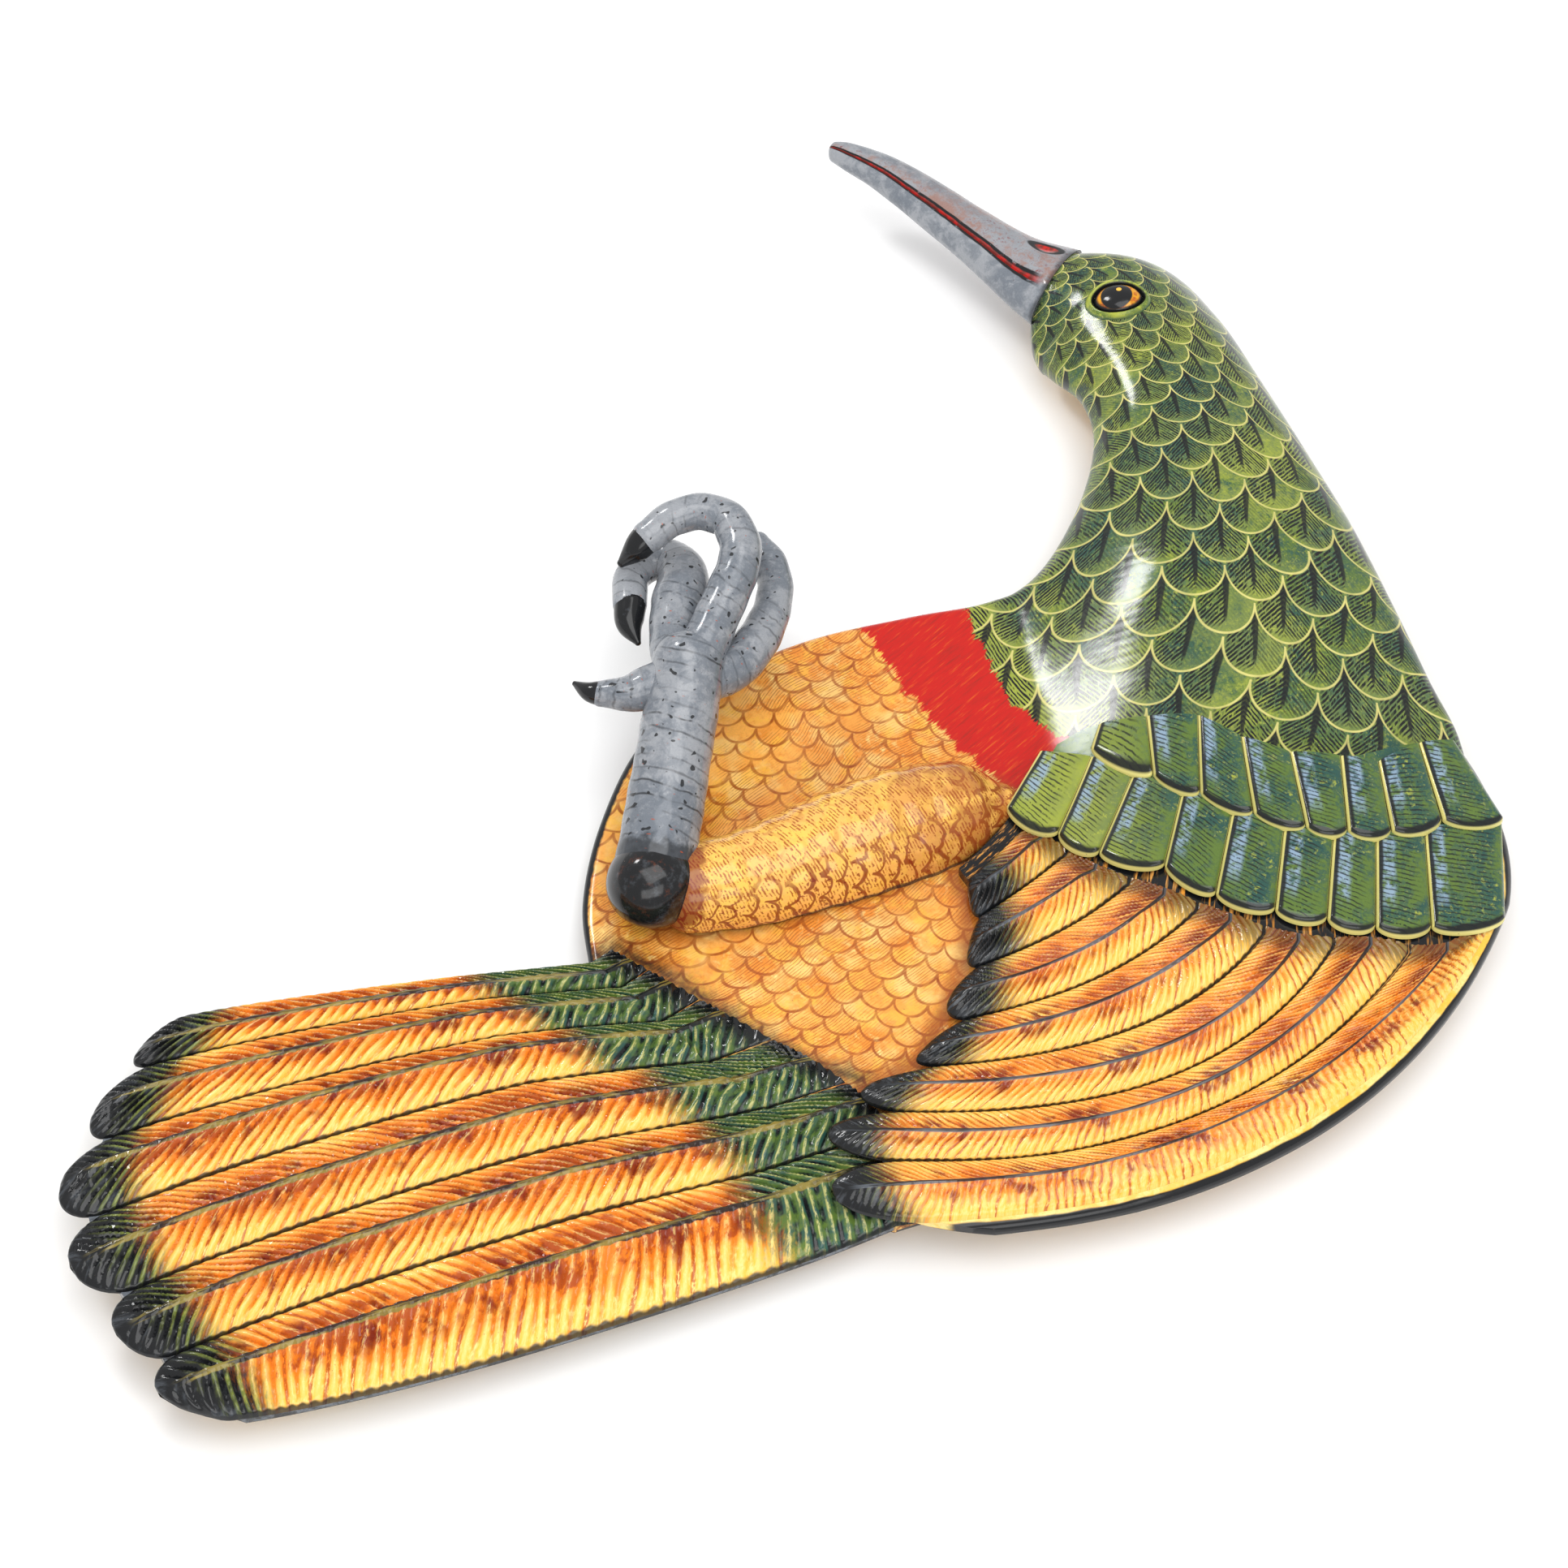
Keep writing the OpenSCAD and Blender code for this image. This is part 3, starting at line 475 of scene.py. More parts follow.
def eye_outline(k, angle, grow):
    """Plan of the eye grown by a distance, a little pointed at both ends."""
    a = k.eye_length / 2 + grow
    flat = 0.72 + 0.05 * grow / k.lid_width
    x = EYE_AT[0] + a * np.cos(angle)
    y = EYE_AT[1] + flat * a * np.sin(angle) * (1 - 0.12 * np.cos(angle) ** 4)
    return x, y


# ---------------------------------------------------------------- tail

TAIL_ROOT = [(-73, -98), (-48, -123), (-23, -148), (3, -173), (28, -198)]
TAIL_REACH = [(-66, -92), (-34, -113), (4, -139), (26, -164), (34, -197)]
TAIL_MIDDLE = np.array([(-148.0, -109.0), (-106.0, -249.0)])
TAIL_TIP = [(-213, -121), (-231, -160), (-239, -197), (-230, -223), (-214, -244), (-201, -261),
            (-187, -268)]
TAIL_DROOP, DROOP_FROM = 16, 0.65
# The sheet stays inside its feathers: a share of its width, where it ends, and its corners
TAIL_SIDE, TAIL_STOP, TAIL_CORNER = 0.009, 0.955, 0.07
TAIL_LENGTH = 190.0
TAIL_LINES = [0, 0.10, 0.235, 0.39, 0.575, 0.75, 1]
TAIL_QUILLS = [0.055, 0.16, 0.29, 0.475, 0.65, 0.835]


def tail_xy(s, v):
    """Plan of the tail: s from -1 on the belly, 0 at the root, to 1 at the tips."""
    root = along(TAIL_ROOT, v)
    middle = mix(TAIL_MIDDLE[0], TAIL_MIDDLE[1], np.asarray(v)[..., None])
    out = bow(root, middle, along(TAIL_TIP, v), s)
    over = mix(root, along(TAIL_REACH, v), -np.asarray(s)[..., None])
    return np.where((np.asarray(s) >= 0)[..., None], out, over)


def tail_z(k, s, v):
    """Height of the top of the tail sheet, arched across and drooping at its tips."""
    p = tail_xy(s, v)
    x, y = p[..., 0], p[..., 1]
    arch = k.tail_arch * (0.1 + 0.9 * np.sin(np.pi * v ** 0.85)) * np.clip(0.1 + s * 3, 0, 1)
    near = (ridge_z(x, y) + HAND_UNEVEN * uneven(x, y)) * np.clip(1 - s * 6, 0, 1)
    return dish_z(k, x, y) + near + arch - TAIL_DROOP * np.maximum(0, s - DROOP_FROM) ** 2


def tip_width(s, start):
    """Share of the full width: 1 up to start, then a round end."""
    return np.where(s <= start, 1, np.sqrt(np.maximum(0, 1 - ((s - start) / (1 - start)) ** 2)))


def pillow(s, a, start):
    """Fullness of a feather: 1 over the quill, 0 at its sides and tip."""
    end = np.sqrt(np.maximum(0, 1 - (np.maximum(0, s - start) / (1 - start)) ** 2))
    return np.sqrt(np.maximum(0, 1 - np.abs(a) ** 2.6)) * end


# Rows along a feather and columns across it; the middle column lies on the quill
FEATHER_GRID = (270, 35)
QUILL_RISE, QUILL_HALF = 0.9, 1.15


def barb_relief(run, across, pitch, lean_far, lean_near, seed):
    """Barb number at each point and the height, -1 to 1, of the cut ribs there."""
    lean = np.where(across < 0, lean_far, lean_near)
    waver = 0.35 * np.sin(run / pitch * 0.61 + seed) + 0.2 * np.sin(run / pitch * 1.7 + 2 * seed)
    number = (run - lean * np.abs(across)) / pitch + 0.5 * waver
    wave = np.cos(2 * np.pi * number)
    return number, wave * (1.15 - 0.3 * wave)


def feather(place, lines, thick, tip_from, root_grow, rib, pitch, leans, s0, seed, base=0.8,
            outer=1.0):
    """A feather on a curved sheet. place(s, v) gives points; lines are its v limits and quill."""
    left, quill, right = lines
    rows, columns = FEATHER_GRID
    a = np.linspace(-1, 1, columns)
    a = 0.35 * np.sin(a * np.pi / 2) + 0.65 * a
    s_line = np.linspace(s0, 1, 400)
    spine = place(s_line, np.full(s_line.shape, quill))
    run = np.concatenate([[0], np.cumsum(np.linalg.norm(np.diff(spine, axis=0), axis=1))])
    share = np.linspace(0, 1, rows)
    share = share - 0.06 * np.sin(2 * np.pi * share) / (2 * np.pi)
    s, a = np.meshgrid(np.interp(share * run[-1], run, s_line), a, indexing="ij")
    width = tip_width(s, tip_from)
    v = quill + np.where(a < 0, (quill - left) * a, (right - quill) * a) * width
    points = place(s, v)
    centre = points[:, columns // 2, None]
    across = np.sign(a) * np.linalg.norm(points - centre, axis=-1)
    length_at = np.interp(s, s_line, run)
    number, wave = barb_relief(length_at, across, pitch, *leans, seed)
    full = pillow(s, a, tip_from - 0.03)
    height = (base + (thick - base)) * full * root_grow(s)
    ribs = rib * wave * ramp(np.abs(across), 0.6, 2.4) * np.sqrt(full)
    reach = 1 - ramp(s, tip_from + 0.01, 1.0)
    quill_line = QUILL_RISE * np.exp(-(across / QUILL_HALF) ** 2) * ramp(s, s0, s0 + 0.3) * reach
    scallop = 0.15 * rib * np.cos(2 * np.pi * number) * ramp(np.abs(a), 0.8, 1.0)
    top = points.copy()
    top[..., 2] += np.maximum(0.02, height + (ribs + quill_line) * full)
    low = points.copy()
    low[..., 2] += np.minimum(0, scallop) - 0.3 * (1 - full)
    edge = np.abs(a) > 0.9999
    top[edge] = low[edge]
    top[-1] = low[-1]
    sheet = Sheet()
    from_tip = run[-1] - length_at
    share_across = np.where(a > 0, outer * a, a)
    maps = {"barbs": (number, across), "along": (length_at, from_tip), "share": (s, share_across)}
    sheet.closed(top, low, maps)
    return sheet


# ---------------------------------------------------------------- wing and coverts

WING_CROWN = [(86, -12), (97, -8), (113, -9), (131, -11), (147, -22), (163, -29), (182, -30),
              (204, -22), (222, -16)]
WING_ROOT = [(67, -44), (79, -51), (96, -68), (118, -82), (139, -94), (161, -102), (185, -102),
             (211, -101), (235, -78)]
WING_MIDDLE = [(58, -55), (68, -63), (78, -81), (88, -104), (98, -123), (108, -144),
               (114, -160), (128, -170), (154, -173)]
WING_TIP = [(50, -63), (54, -75), (53, -96), (46, -117), (37, -137), (18, -151), (6, -168),
            (7, -190), (14, -206)]
SHOULDER_BULGE = 7.0
WING_ROUND = 7.0
WING_STOP, WING_CORNER = 0.93, 0.07
LOWER_HEAD = [(80, -14), (97, -20), (111, -29), (127, -38), (143, -48), (160, -53), (176, -57),
              (190, -59), (207, -55), (235, -46)]
LOWER_TAIL = [(68, -38), (85, -50), (98, -61), (119, -70), (135, -83), (154, -90), (171, -93),
              (187, -95), (206, -93), (232, -86)]
UPPER_HEAD = [(100, -8), (116, -9), (133, -12), (147, -22), (163, -29), (180, -30), (193, -31),
              (208, -21), (221, -17)]
UPPER_TAIL = [(97, -17), (117, -32), (132, -42), (149, -52), (166, -58), (180, -59), (195, -58),
              (213, -51), (235, -46)]
COVERT_BULGE = 5.0
COVERT_EDGE, COVERT_ROUND, COVERT_SWELL = 0.5, 2.6, 0.25
# How far the tails of the lower and upper coverts lift
LOWER_LIFT, UPPER_LIFT = 1.8, 1.4
PRIMARIES = 7
TAIL_FEATHERS = len(TAIL_QUILLS)


def wing_xy(s, v):
    """Plan of the wing: s from -1 at the crown, 0 at the coverts, to 1 at the tips."""
    s = np.asarray(s, float)
    root = curve(WING_ROOT, v)
    out = bow(root, curve(WING_MIDDLE, v), curve(WING_TIP, v), s)
    over = mix(root, curve(WING_CROWN, v), -s[..., None])
    over[..., 0] += SHOULDER_BULGE * 4 * -s * (1 + s) * (np.asarray(v) / 8) ** 5
    return np.where((s >= 0)[..., None], out, over)


def wing_lift(k, s, v):
    """The tips beside the tail lift over the roots of the tail feathers."""
    return (0.9 * k.tail_feather * np.clip((s - 0.7) / 0.2, 0, 1)
            * np.clip((v - 5.4) / 1.2, 0, 1))


def wing_place(k, s, v):
    """A point on top of the wing sheet."""
    p = wing_xy(s, v)
    rim = np.linalg.norm(wing_xy(s, np.full(np.shape(v), 8.0)) - p, axis=-1)
    drop = 0.45 * WING_ROUND * (1 - roundover(rim, WING_ROUND))
    z = body_z(k, p[..., 0], p[..., 1]) + k.wing_thick + wing_lift(k, s, v) - drop
    return np.concatenate([p, z[..., None]], axis=-1)


def covert(k, head, tail, j, lift):
    """One covert tile between line j and line j + 1."""
    head, tail = np.asarray(head, float), np.asarray(tail, float)
    s = 1 - (1 - np.linspace(0, 1, 60)) ** 1.4
    s, a = np.meshgrid(s, ends(36, 0.12, 0.5), indexing="ij")
    left = mix(head[j], tail[j], s[..., None])
    right = mix(head[j + 1], tail[j + 1], s[..., None])
    d = (tail[j] - head[j]) + (tail[j + 1] - head[j + 1])
    d = d / np.linalg.norm(d)
    bulge = COVERT_BULGE * s * s * np.sqrt(np.maximum(0, 1 - (2 * a - 1) ** 2))
    p = mix(left, right, a[..., None]) + d * bulge[..., None]
    face = body_z(k, p[..., 0], p[..., 1]) + k.wing_thick + lift * s
    length_mm = np.linalg.norm(tail[j] - head[j])
    width = np.linalg.norm(right - left, axis=-1)
    side = width * np.minimum(a, 1 - a)
    end = (1 - s) * length_mm + 0.01
    full = roundover(np.minimum(side, end), COVERT_ROUND)
    swell = COVERT_SWELL * np.sin(np.pi * a) ** 2
    height = COVERT_EDGE + (k.covert_thick - COVERT_EDGE) * (0.25 + 0.75 * s) + swell
    top = np.dstack([p, face + height * full + 0.02])
    low = np.dstack([p, face - 0.2])
    border = (a < 1e-9) | (a > 1 - 1e-9) | (s > 1 - 1e-9)
    top[border] = low[border]
    sheet = Sheet()
    maps = {"tile": (a * width, (1 - a) * width), "down": (s * length_mm + bulge, end)}
    sheet.closed(top, low, maps)
    return sheet


# ---------------------------------------------------------------- shader helpers

class Paint:
    """Short calls that add nodes to one tree and join their sockets."""

    def __init__(self, tree):
        self.tree = tree

    def node(self, kind, inputs=(), **settings):
        prefix = "" if kind.startswith("NodeGroup") else "ShaderNode"
        made = self.tree.nodes.new(prefix + kind)
        for key, value in settings.items():
            setattr(made, key, value)
        for key, value in dict(inputs).items():
            self.join(made.inputs[key], value)
        return made

    def join(self, socket, value):
        if isinstance(value, bpy.types.NodeSocket):
            self.tree.links.new(value, socket)
        elif value is not None:
            socket.default_value = value

    def math(self, operation, *values, clamp=False):
        made = self.node("Math", enumerate(values), operation=operation, use_clamp=clamp)
        return made.outputs[0]

    def add(self, a, b):
        return self.math("ADD", a, b)

    def sub(self, a, b):
        return self.math("SUBTRACT", a, b)

    def mul(self, a, b, *more):
        out = self.math("MULTIPLY", a, b)
        return self.mul(out, *more) if more else out

    def step(self, value, low, high):
        """Smooth step, falling when low is over high."""
        inputs = {"Value": value, "From Min": low, "From Max": high}
        return self.node("MapRange", inputs, interpolation_type="SMOOTHSTEP").outputs["Result"]

    def within(self, value, centre, half, soft):
        """1 near a centre value, 0 beyond half a width, with a soft edge."""
        away = self.math("ABSOLUTE", self.sub(value, centre))
        return self.step(away, half + soft, half)

    def most(self, a, b, *more):
        out = self.math("MAXIMUM", a, b)
        return self.most(out, *more) if more else out

    def mix(self, share, a, b, blend="MIX"):
        made = self.node("Mix", {0: share, 6: a, 7: b}, data_type="RGBA", blend_type=blend)
        return made.outputs[2]

    def fade(self, share, a, b):
        return self.node("Mix", {0: share, 2: a, 3: b}, data_type="FLOAT").outputs[0]

    def vector(self, x, y, z=0.0):
        return self.node("CombineXYZ", {"X": x, "Y": y, "Z": z}).outputs[0]

    def map(self, name):
        """The two coordinates of one of the piece's maps."""
        made = self.node("SeparateXYZ", {0: self.node("UVMap", uv_map=name).outputs[0]})
        return made.outputs[0], made.outputs[1]

    def place(self):
        """Position in millimetres."""
        at = self.node("TexCoord").outputs["Object"]
        return self.node("VectorMath", {0: at, 3: 1000.0}, operation="SCALE").outputs[0]

    def noise(self, at, scale, detail=3.0, rough=0.55, bend=0.0):
        inputs = {"Vector": at, "Scale": scale, "Detail": detail, "Roughness": rough,
                  "Distortion": bend}
        return self.node("TexNoise", inputs).outputs["Fac"]

    def dice(self, x, y=0.0):
        """A random value for each whole pair of numbers."""
        at = self.vector(x, y)
        return self.node("TexWhiteNoise", {"Vector": at}, noise_dimensions="2D").outputs["Value"]

    def use(self, maker, **values):
        """Places a shader node group and returns its outputs by name."""
        made = self.node("Group")
        made.node_tree = maker()
        for key, value in values.items():
            self.join(made.inputs[key.replace("_", " ").capitalize()], value)
        return {o.name.lower(): o for o in made.outputs}


def group(name, inputs, outputs, build):
    """A shader node group with named sockets, built once."""
    tree = bpy.data.node_groups.get(name)
    if tree:
        return tree
    tree = bpy.data.node_groups.new(name, "ShaderNodeTree")
    for label, default in inputs.items():
        kind = "NodeSocketFloat" if isinstance(default, float) else "NodeSocketColor"
        made = tree.interface.new_socket(label, in_out="INPUT", socket_type=kind)
        made.default_value = default
    for label, kind in outputs.items():
        tree.interface.new_socket(label, in_out="OUTPUT", socket_type="NodeSocket" + kind)
    p = Paint(tree)
    source = p.node("NodeGroupInput")
    given = {o.name.lower(): o for o in source.outputs if o.name}
    made = build(p, given)
    sink = p.node("NodeGroupOutput")
    for label, value in made.items():
        p.join(sink.inputs[label], value)
    return tree


WHITE = (1.0, 1.0, 1.0, 1.0)


def scallop_group():
    """Overlapping round-tipped scales, rows running towards the tips."""

    def build(p, g):
        k = p.math("FLOOR", g["row"])
        f = p.sub(g["row"], k)

        def cell(shift):
            odd = p.math("MODULO", p.add(k, 1000.0 + shift), 2.0)
            c = p.add(g["column"], p.mul(odd, 0.5))
            whole = p.math("FLOOR", c)
            return p.sub(p.sub(c, whole), 0.5), whole

        x_up, c_up = cell(1.0)
        x_low, c_low = cell(0.0)
        reach = p.math("SQRT", p.add(p.math("POWER", p.mul(x_up, 2.0), 2.0),
                                     p.math("POWER", p.math("DIVIDE", f, g["bulge"]), 2.0)))
        inside = p.math("LESS_THAN", reach, 1.0)
        line = p.mul(p.math("ABSOLUTE", p.sub(1.0, reach)), 0.5)
        across = p.fade(inside, x_low, x_up)
        whole = p.add(1.0, g["bulge"])
        down = p.math("DIVIDE", p.add(f, inside), whole)
        chance = p.dice(p.sub(k, inside), p.fade(inside, c_low, c_up))
        return {"Line": line, "Across": across, "Down": down, "Chance": chance}

    return group("Scallops", {"Row": 0.0, "Column": 0.0, "Bulge": 0.9},
                 {"Line": "Float", "Across": "Float", "Down": "Float", "Chance": "Float"}, build)


def wash_group():
    """Three colours sponged over each other, with fine speckle."""

    def build(p, g):
        at = p.place()
        big = p.noise(at, p.math("DIVIDE", 0.06, g["size"]), 4.0, 0.6, 0.6)
        small = p.noise(at, p.math("DIVIDE", 0.35, g["size"]), 5.0, 0.7, 0.3)
        grain = p.noise(at, 1.6, 2.0, 0.6)
        first = p.mix(p.step(p.add(big, p.mul(p.sub(small, 0.5), 0.9)), 0.38, 0.62),
                      g["first"], g["second"])
        second = p.mix(p.mul(p.step(small, 0.53, 0.72), p.step(big, 0.35, 0.6)), first, g["third"])
        shade = p.fade(grain, 0.82, 1.16)
        return {"Colour": p.mix(1.0, second, p.vector(shade, shade, shade), "MULTIPLY")}

    return group("Sponged wash", {"First": WHITE, "Second": WHITE, "Third": WHITE, "Size": 1.0},
                 {"Colour": "Color"}, build)


def hatch_group():
    """Fine brush lines across a coordinate, broken where the brush ran dry."""

    def build(p, g):
        waver = p.noise(p.vector(p.mul(g["phase"], 0.35), g["run"]), 1.0, 2.0)
        whole = p.add(g["phase"], p.mul(p.sub(waver, 0.5), 0.7))
        number = p.math("FLOOR", whole)
        away = p.math("ABSOLUTE", p.sub(p.sub(whole, number), 0.5))
        chance = p.dice(number, 3.0)
        thick = p.mul(g["weight"], p.fade(chance, 0.55, 1.15))
        line = p.step(away, p.add(thick, 0.12), thick)
        dry = p.noise(p.vector(p.add(number, 7.3), p.mul(g["run"], 1.3)), 1.0, 3.0, 0.7)
        return {"Line": p.mul(line, p.step(dry, 0.34, 0.5)), "Chance": chance}

    return group("Brush hatching", {"Phase": 0.0, "Run": 0.0, "Weight": 0.16},
                 {"Line": "Float", "Chance": "Float"}, build)


def ragged_group():
    """A brushed edge: 0 before a distance of 0, 1 after it, with bristle marks."""

    def build(p, g):
        coarse = p.noise(p.vector(p.mul(g["along"], 0.12), p.mul(g["distance"], 0.03)), 1.0, 3.0)
        fine = p.noise(p.vector(p.mul(g["along"], 0.9), p.mul(g["distance"], 0.08)), 1.0, 3.0, 0.7)
        shift = p.mul(p.add(p.sub(coarse, 0.5), p.mul(p.sub(fine, 0.5), 0.9)), g["reach"])
        soft = p.mul(g["reach"], 0.05)
        return {"Mask": p.step(p.add(g["distance"], shift), p.mul(soft, -1.0), soft)}

    return group("Brushed edge", {"Distance": 0.0, "Along": 0.0, "Reach": 8.0},
                 {"Mask": "Float"}, build)


def glaze_group():
    """The glaze over the paint: slow waves, pinholes and a little roughness."""

    def build(p, g):
        at = p.place()
        slow = p.noise(at, 0.045, 2.0, 0.5)
        brush = p.noise(at, 0.45, 3.0, 0.6)
        pits = p.step(p.noise(at, 1.1, 1.0, 0.4), 0.24, 0.18)
        height = p.add(p.mul(slow, 1.6), p.sub(p.mul(brush, 0.10), p.mul(pits, 0.12)))
        rough = p.add(p.fade(brush, 0.07, 0.20), p.mul(pits, 0.3))
        dust = p.step(p.noise(at, 0.8, 2.0, 0.8), 0.72, 0.80)
        dark = p.mix(p.mul(p.most(pits, p.mul(dust, 0.6)), 0.7), g["colour"], (0.05, 0.03, 0.02, 1))
        return {"Colour": dark, "Roughness": rough, "Height": height}

    return group("Clear glaze", {"Colour": WHITE},
                 {"Colour": "Color", "Roughness": "Float", "Height": "Float"}, build)


def bare_material(name):
    """A new material with an empty node tree, and the brush for it."""
    material = bpy.data.materials.new(name)
    material.use_nodes = True
    material.node_tree.nodes.clear()
    return material, Paint(material.node_tree)


def glazed(name, paint):
    """A glazed material; paint(p) returns its colour."""
    material = bpy.data.materials.get(name)
    if material:
        return material
    material, p = bare_material(name)
    glaze = p.use(glaze_group, colour=paint(p))
    height = p.mul(glaze["height"], 0.25)
    bump = p.node("Bump", {"Strength": 0.6, "Distance": 0.001, "Height": height})
    shader = p.node("BsdfPrincipled", {"Base Color": glaze["colour"],
                                       "Roughness": glaze["roughness"], "Normal": bump.outputs[0]})
    shader.inputs["IOR"].default_value = 1.5
    shader.inputs["Specular IOR Level"].default_value = 0.38
    p.node("OutputMaterial", {"Surface": shader.outputs[0]})
    return material


def underside(p, colour_top, rim, c):
    """Cream glaze on the underside of a sheet, with the rim's colour brought round its edge."""
    top, edge = p.map("side")
    at = p.place()
    low = p.use(wash_group, first=c.cream, second=c.yellow, third=c.cream, size=3.0)["colour"]
    low = p.mix(p.mul(p.step(p.noise(at, 0.05), 0.5, 0.7), 0.25), low, c.tawny)
    low = p.mix(p.step(p.add(edge, p.mul(p.noise(at, 0.12), 3.0)), 8.5, 6.5), low, rim)
    return p.mix(p.step(top, 0.02, 0.10), low, colour_top)


def green_wash(p, c):
    """The wash of neck, wing shoulder and coverts."""
    return p.use(wash_group, first=c.green, second=c.teal, third=c.lime, size=0.9)["colour"]


def grey_wash(p, c):
    """The wash of bill, shin and toes."""
    return p.use(wash_group, first=c.grey, second=c.slate, third=c.grey, size=2.0)["colour"]


# ---------------------------------------------------------------- painted materials

def body_paint(c):
    """Belly scales, the red band and the green scales of neck and head."""

    def paint(p):
        at = p.place()
        row, column = p.map("belly")
        belly = p.use(scallop_group, row=row, column=column, bulge=0.92)
        wash = p.use(wash_group, first=c.orange, second=c.amber, third=c.cream, size=1.4)["colour"]
        cream_tip = p.mul(p.step(p.noise(at, 0.07, 3.0), 0.45, 0.65), 0.6)
        wash = p.mix(cream_tip, wash, c.cream)
        wash = p.mix(p.mul(p.step(belly["chance"], 0.55, 1.0), 0.45), wash, c.amber)
        wash = p.mix(p.mul(p.step(p.noise(at, 0.11, 4.0, 0.7), 0.5, 0.62), 0.5), wash, c.yellow)
        turned = p.add(p.mul(row, 4.0), p.mul(column, 9.0))
        marks = p.use(hatch_group, phase=turned, run=p.mul(p.sub(row, column), 0.9), weight=0.10)
        patch = p.step(p.noise(at, 0.04, 3.0), 0.38, 0.54)
        wash = p.mix(p.mul(marks["line"], patch, 0.7), wash, c.brown)
        thick = p.mul(p.noise(at, 0.12), 0.085)
        line = p.step(belly["line"], p.add(thick, 0.022), p.mul(thick, 0.5))
        wash = p.mix(p.mul(line, p.fade(p.noise(at, 0.2), 0.05, 1.35)), wash, c.brown)

        from_belly, from_neck = p.map("bands")
        row, column = p.map("neck")
        scale = p.use(scallop_group, row=row, column=column, bulge=0.9)
        green = green_wash(p, c)
        sponge = p.noise(at, 0.28, 5.0, 0.75)
        green = p.mix(p.mul(p.step(sponge, 0.54, 0.68), 0.6), green, c.lime)
        green = p.mix(p.mul(p.step(sponge, 0.45, 0.34), 0.6), green, c.teal)
        sunny = p.step(p.add(p.noise(at, 0.022, 2.0), p.mul(p.sub(sponge, 0.5), 0.5)), 0.5, 0.62)
        green = p.mix(p.mul(sunny, 0.45), green, c.lime)
        green = p.mix(p.mul(p.step(p.noise(at, 0.035, 3.0), 0.45, 0.6), 0.5), green, c.teal)
        fleck = p.noise(at, 0.9, 4.0, 0.8)
        green = p.mix(p.mul(p.step(fleck, 0.54, 0.66), 0.5), green, c.lime)
        green = p.mix(p.mul(p.step(fleck, 0.46, 0.36), 0.5), green, c.teal)
        green = p.mix(p.mul(p.step(from_neck, 17.0, 4.0), 0.6), green, c.lime)
        green = p.mix(p.mul(p.step(scale["chance"], 0.6, 1.0), 0.2), green, c.lime)
        pale = p.mul(p.step(scale["down"], 0.62, 0.98), p.fade(p.noise(at, 0.09), 0.1, 0.9))
        green = p.mix(p.mul(pale, 0.45), green, c.lime)
        span = p.math("ABSOLUTE", scale["across"])
        side = p.math("SIGN", scale["across"])
        lean = p.sub(p.mul(scale["down"], 14.0), p.mul(span, 13.0))
        lines = p.use(hatch_group, phase=p.add(lean, p.mul(side, 37.0)),
                      run=p.add(p.mul(span, 8.0), p.mul(scale["chance"], 31.0)), weight=0.24)
        upper = p.mul(p.step(scale["down"], 0.99, 0.84), p.step(span, 0.49, 0.41))
        heavy = p.fade(p.step(side, -1.0, 1.0), 1.0, p.step(scale["chance"], -0.1, 0.7))
        green = p.mix(p.mul(lines["line"], upper, heavy), green, c.ink)
        taper = p.mul(p.sub(1.0, scale["down"]), 0.06)
        shaft = p.mul(p.step(span, p.add(taper, 0.03), taper), p.step(scale["down"], 0.86, 0.76))
        green = p.mix(p.mul(shaft, 0.9), green, c.ink)
        rim = p.mul(p.step(scale["line"], 0.024, 0.008), p.fade(p.noise(at, 0.15), 0.3, 1.2))
        green = p.mix(rim, green, c.straw)

        x, y = (p.node("SeparateXYZ", {0: at}).outputs[i] for i in (0, 1))
        walk = p.mul(p.sub(x, y), 0.8)
        bristle = p.noise(p.vector(p.mul(walk, 0.8), p.mul(from_belly, 0.07)), 1.0, 3.0, 0.7)
        red = p.mix(p.mul(p.step(bristle, 0.48, 0.75), 0.6), c.red, c.maroon)
        red = p.mix(p.mul(p.step(bristle, 0.45, 0.28), 0.4), red, c.tawny)
        red_on = p.use(ragged_group, distance=from_belly, along=walk, reach=13.0)["mask"]
        green_on = p.use(ragged_group, distance=from_neck, along=walk, reach=9.0)["mask"]
        colour_top = p.mix(green_on, p.mix(red_on, wash, red), green)

        left = p.map("rims")[0]
        inked = p.step(p.add(left, p.mul(p.noise(at, 0.3), 1.5)), 3.8, 2.8)
        colour_top = p.mix(p.mul(inked, p.step(from_belly, -40.0, -70.0)), colour_top, c.ink)
        # Painted shadow: ink on the belly beside the raised roots of the tail feathers, and brown beside
        # the wing tips and round the thigh, with wavering edges.
        from_tail, from_wing = p.map("shadows")
        shadow_edge_noise = p.noise(at, 0.25, 4.0, 0.7)
        dark = p.mul(p.step(p.add(from_tail, p.mul(shadow_edge_noise, 10.0)), 13.0, 3.0), 0.9)
        colour_top = p.mix(dark, colour_top, c.ink)
        dark = p.mul(p.step(p.add(from_wing, p.mul(shadow_edge_noise, 8.0)), 11.0, 3.0), 0.8)
        colour_top = p.mix(dark, colour_top, c.brown)
        rim = p.mix(p.step(from_neck, -6.0, 0.0), c.ink, green)
        return underside(p, colour_top, rim, c)

    return glazed("painted_body", paint)


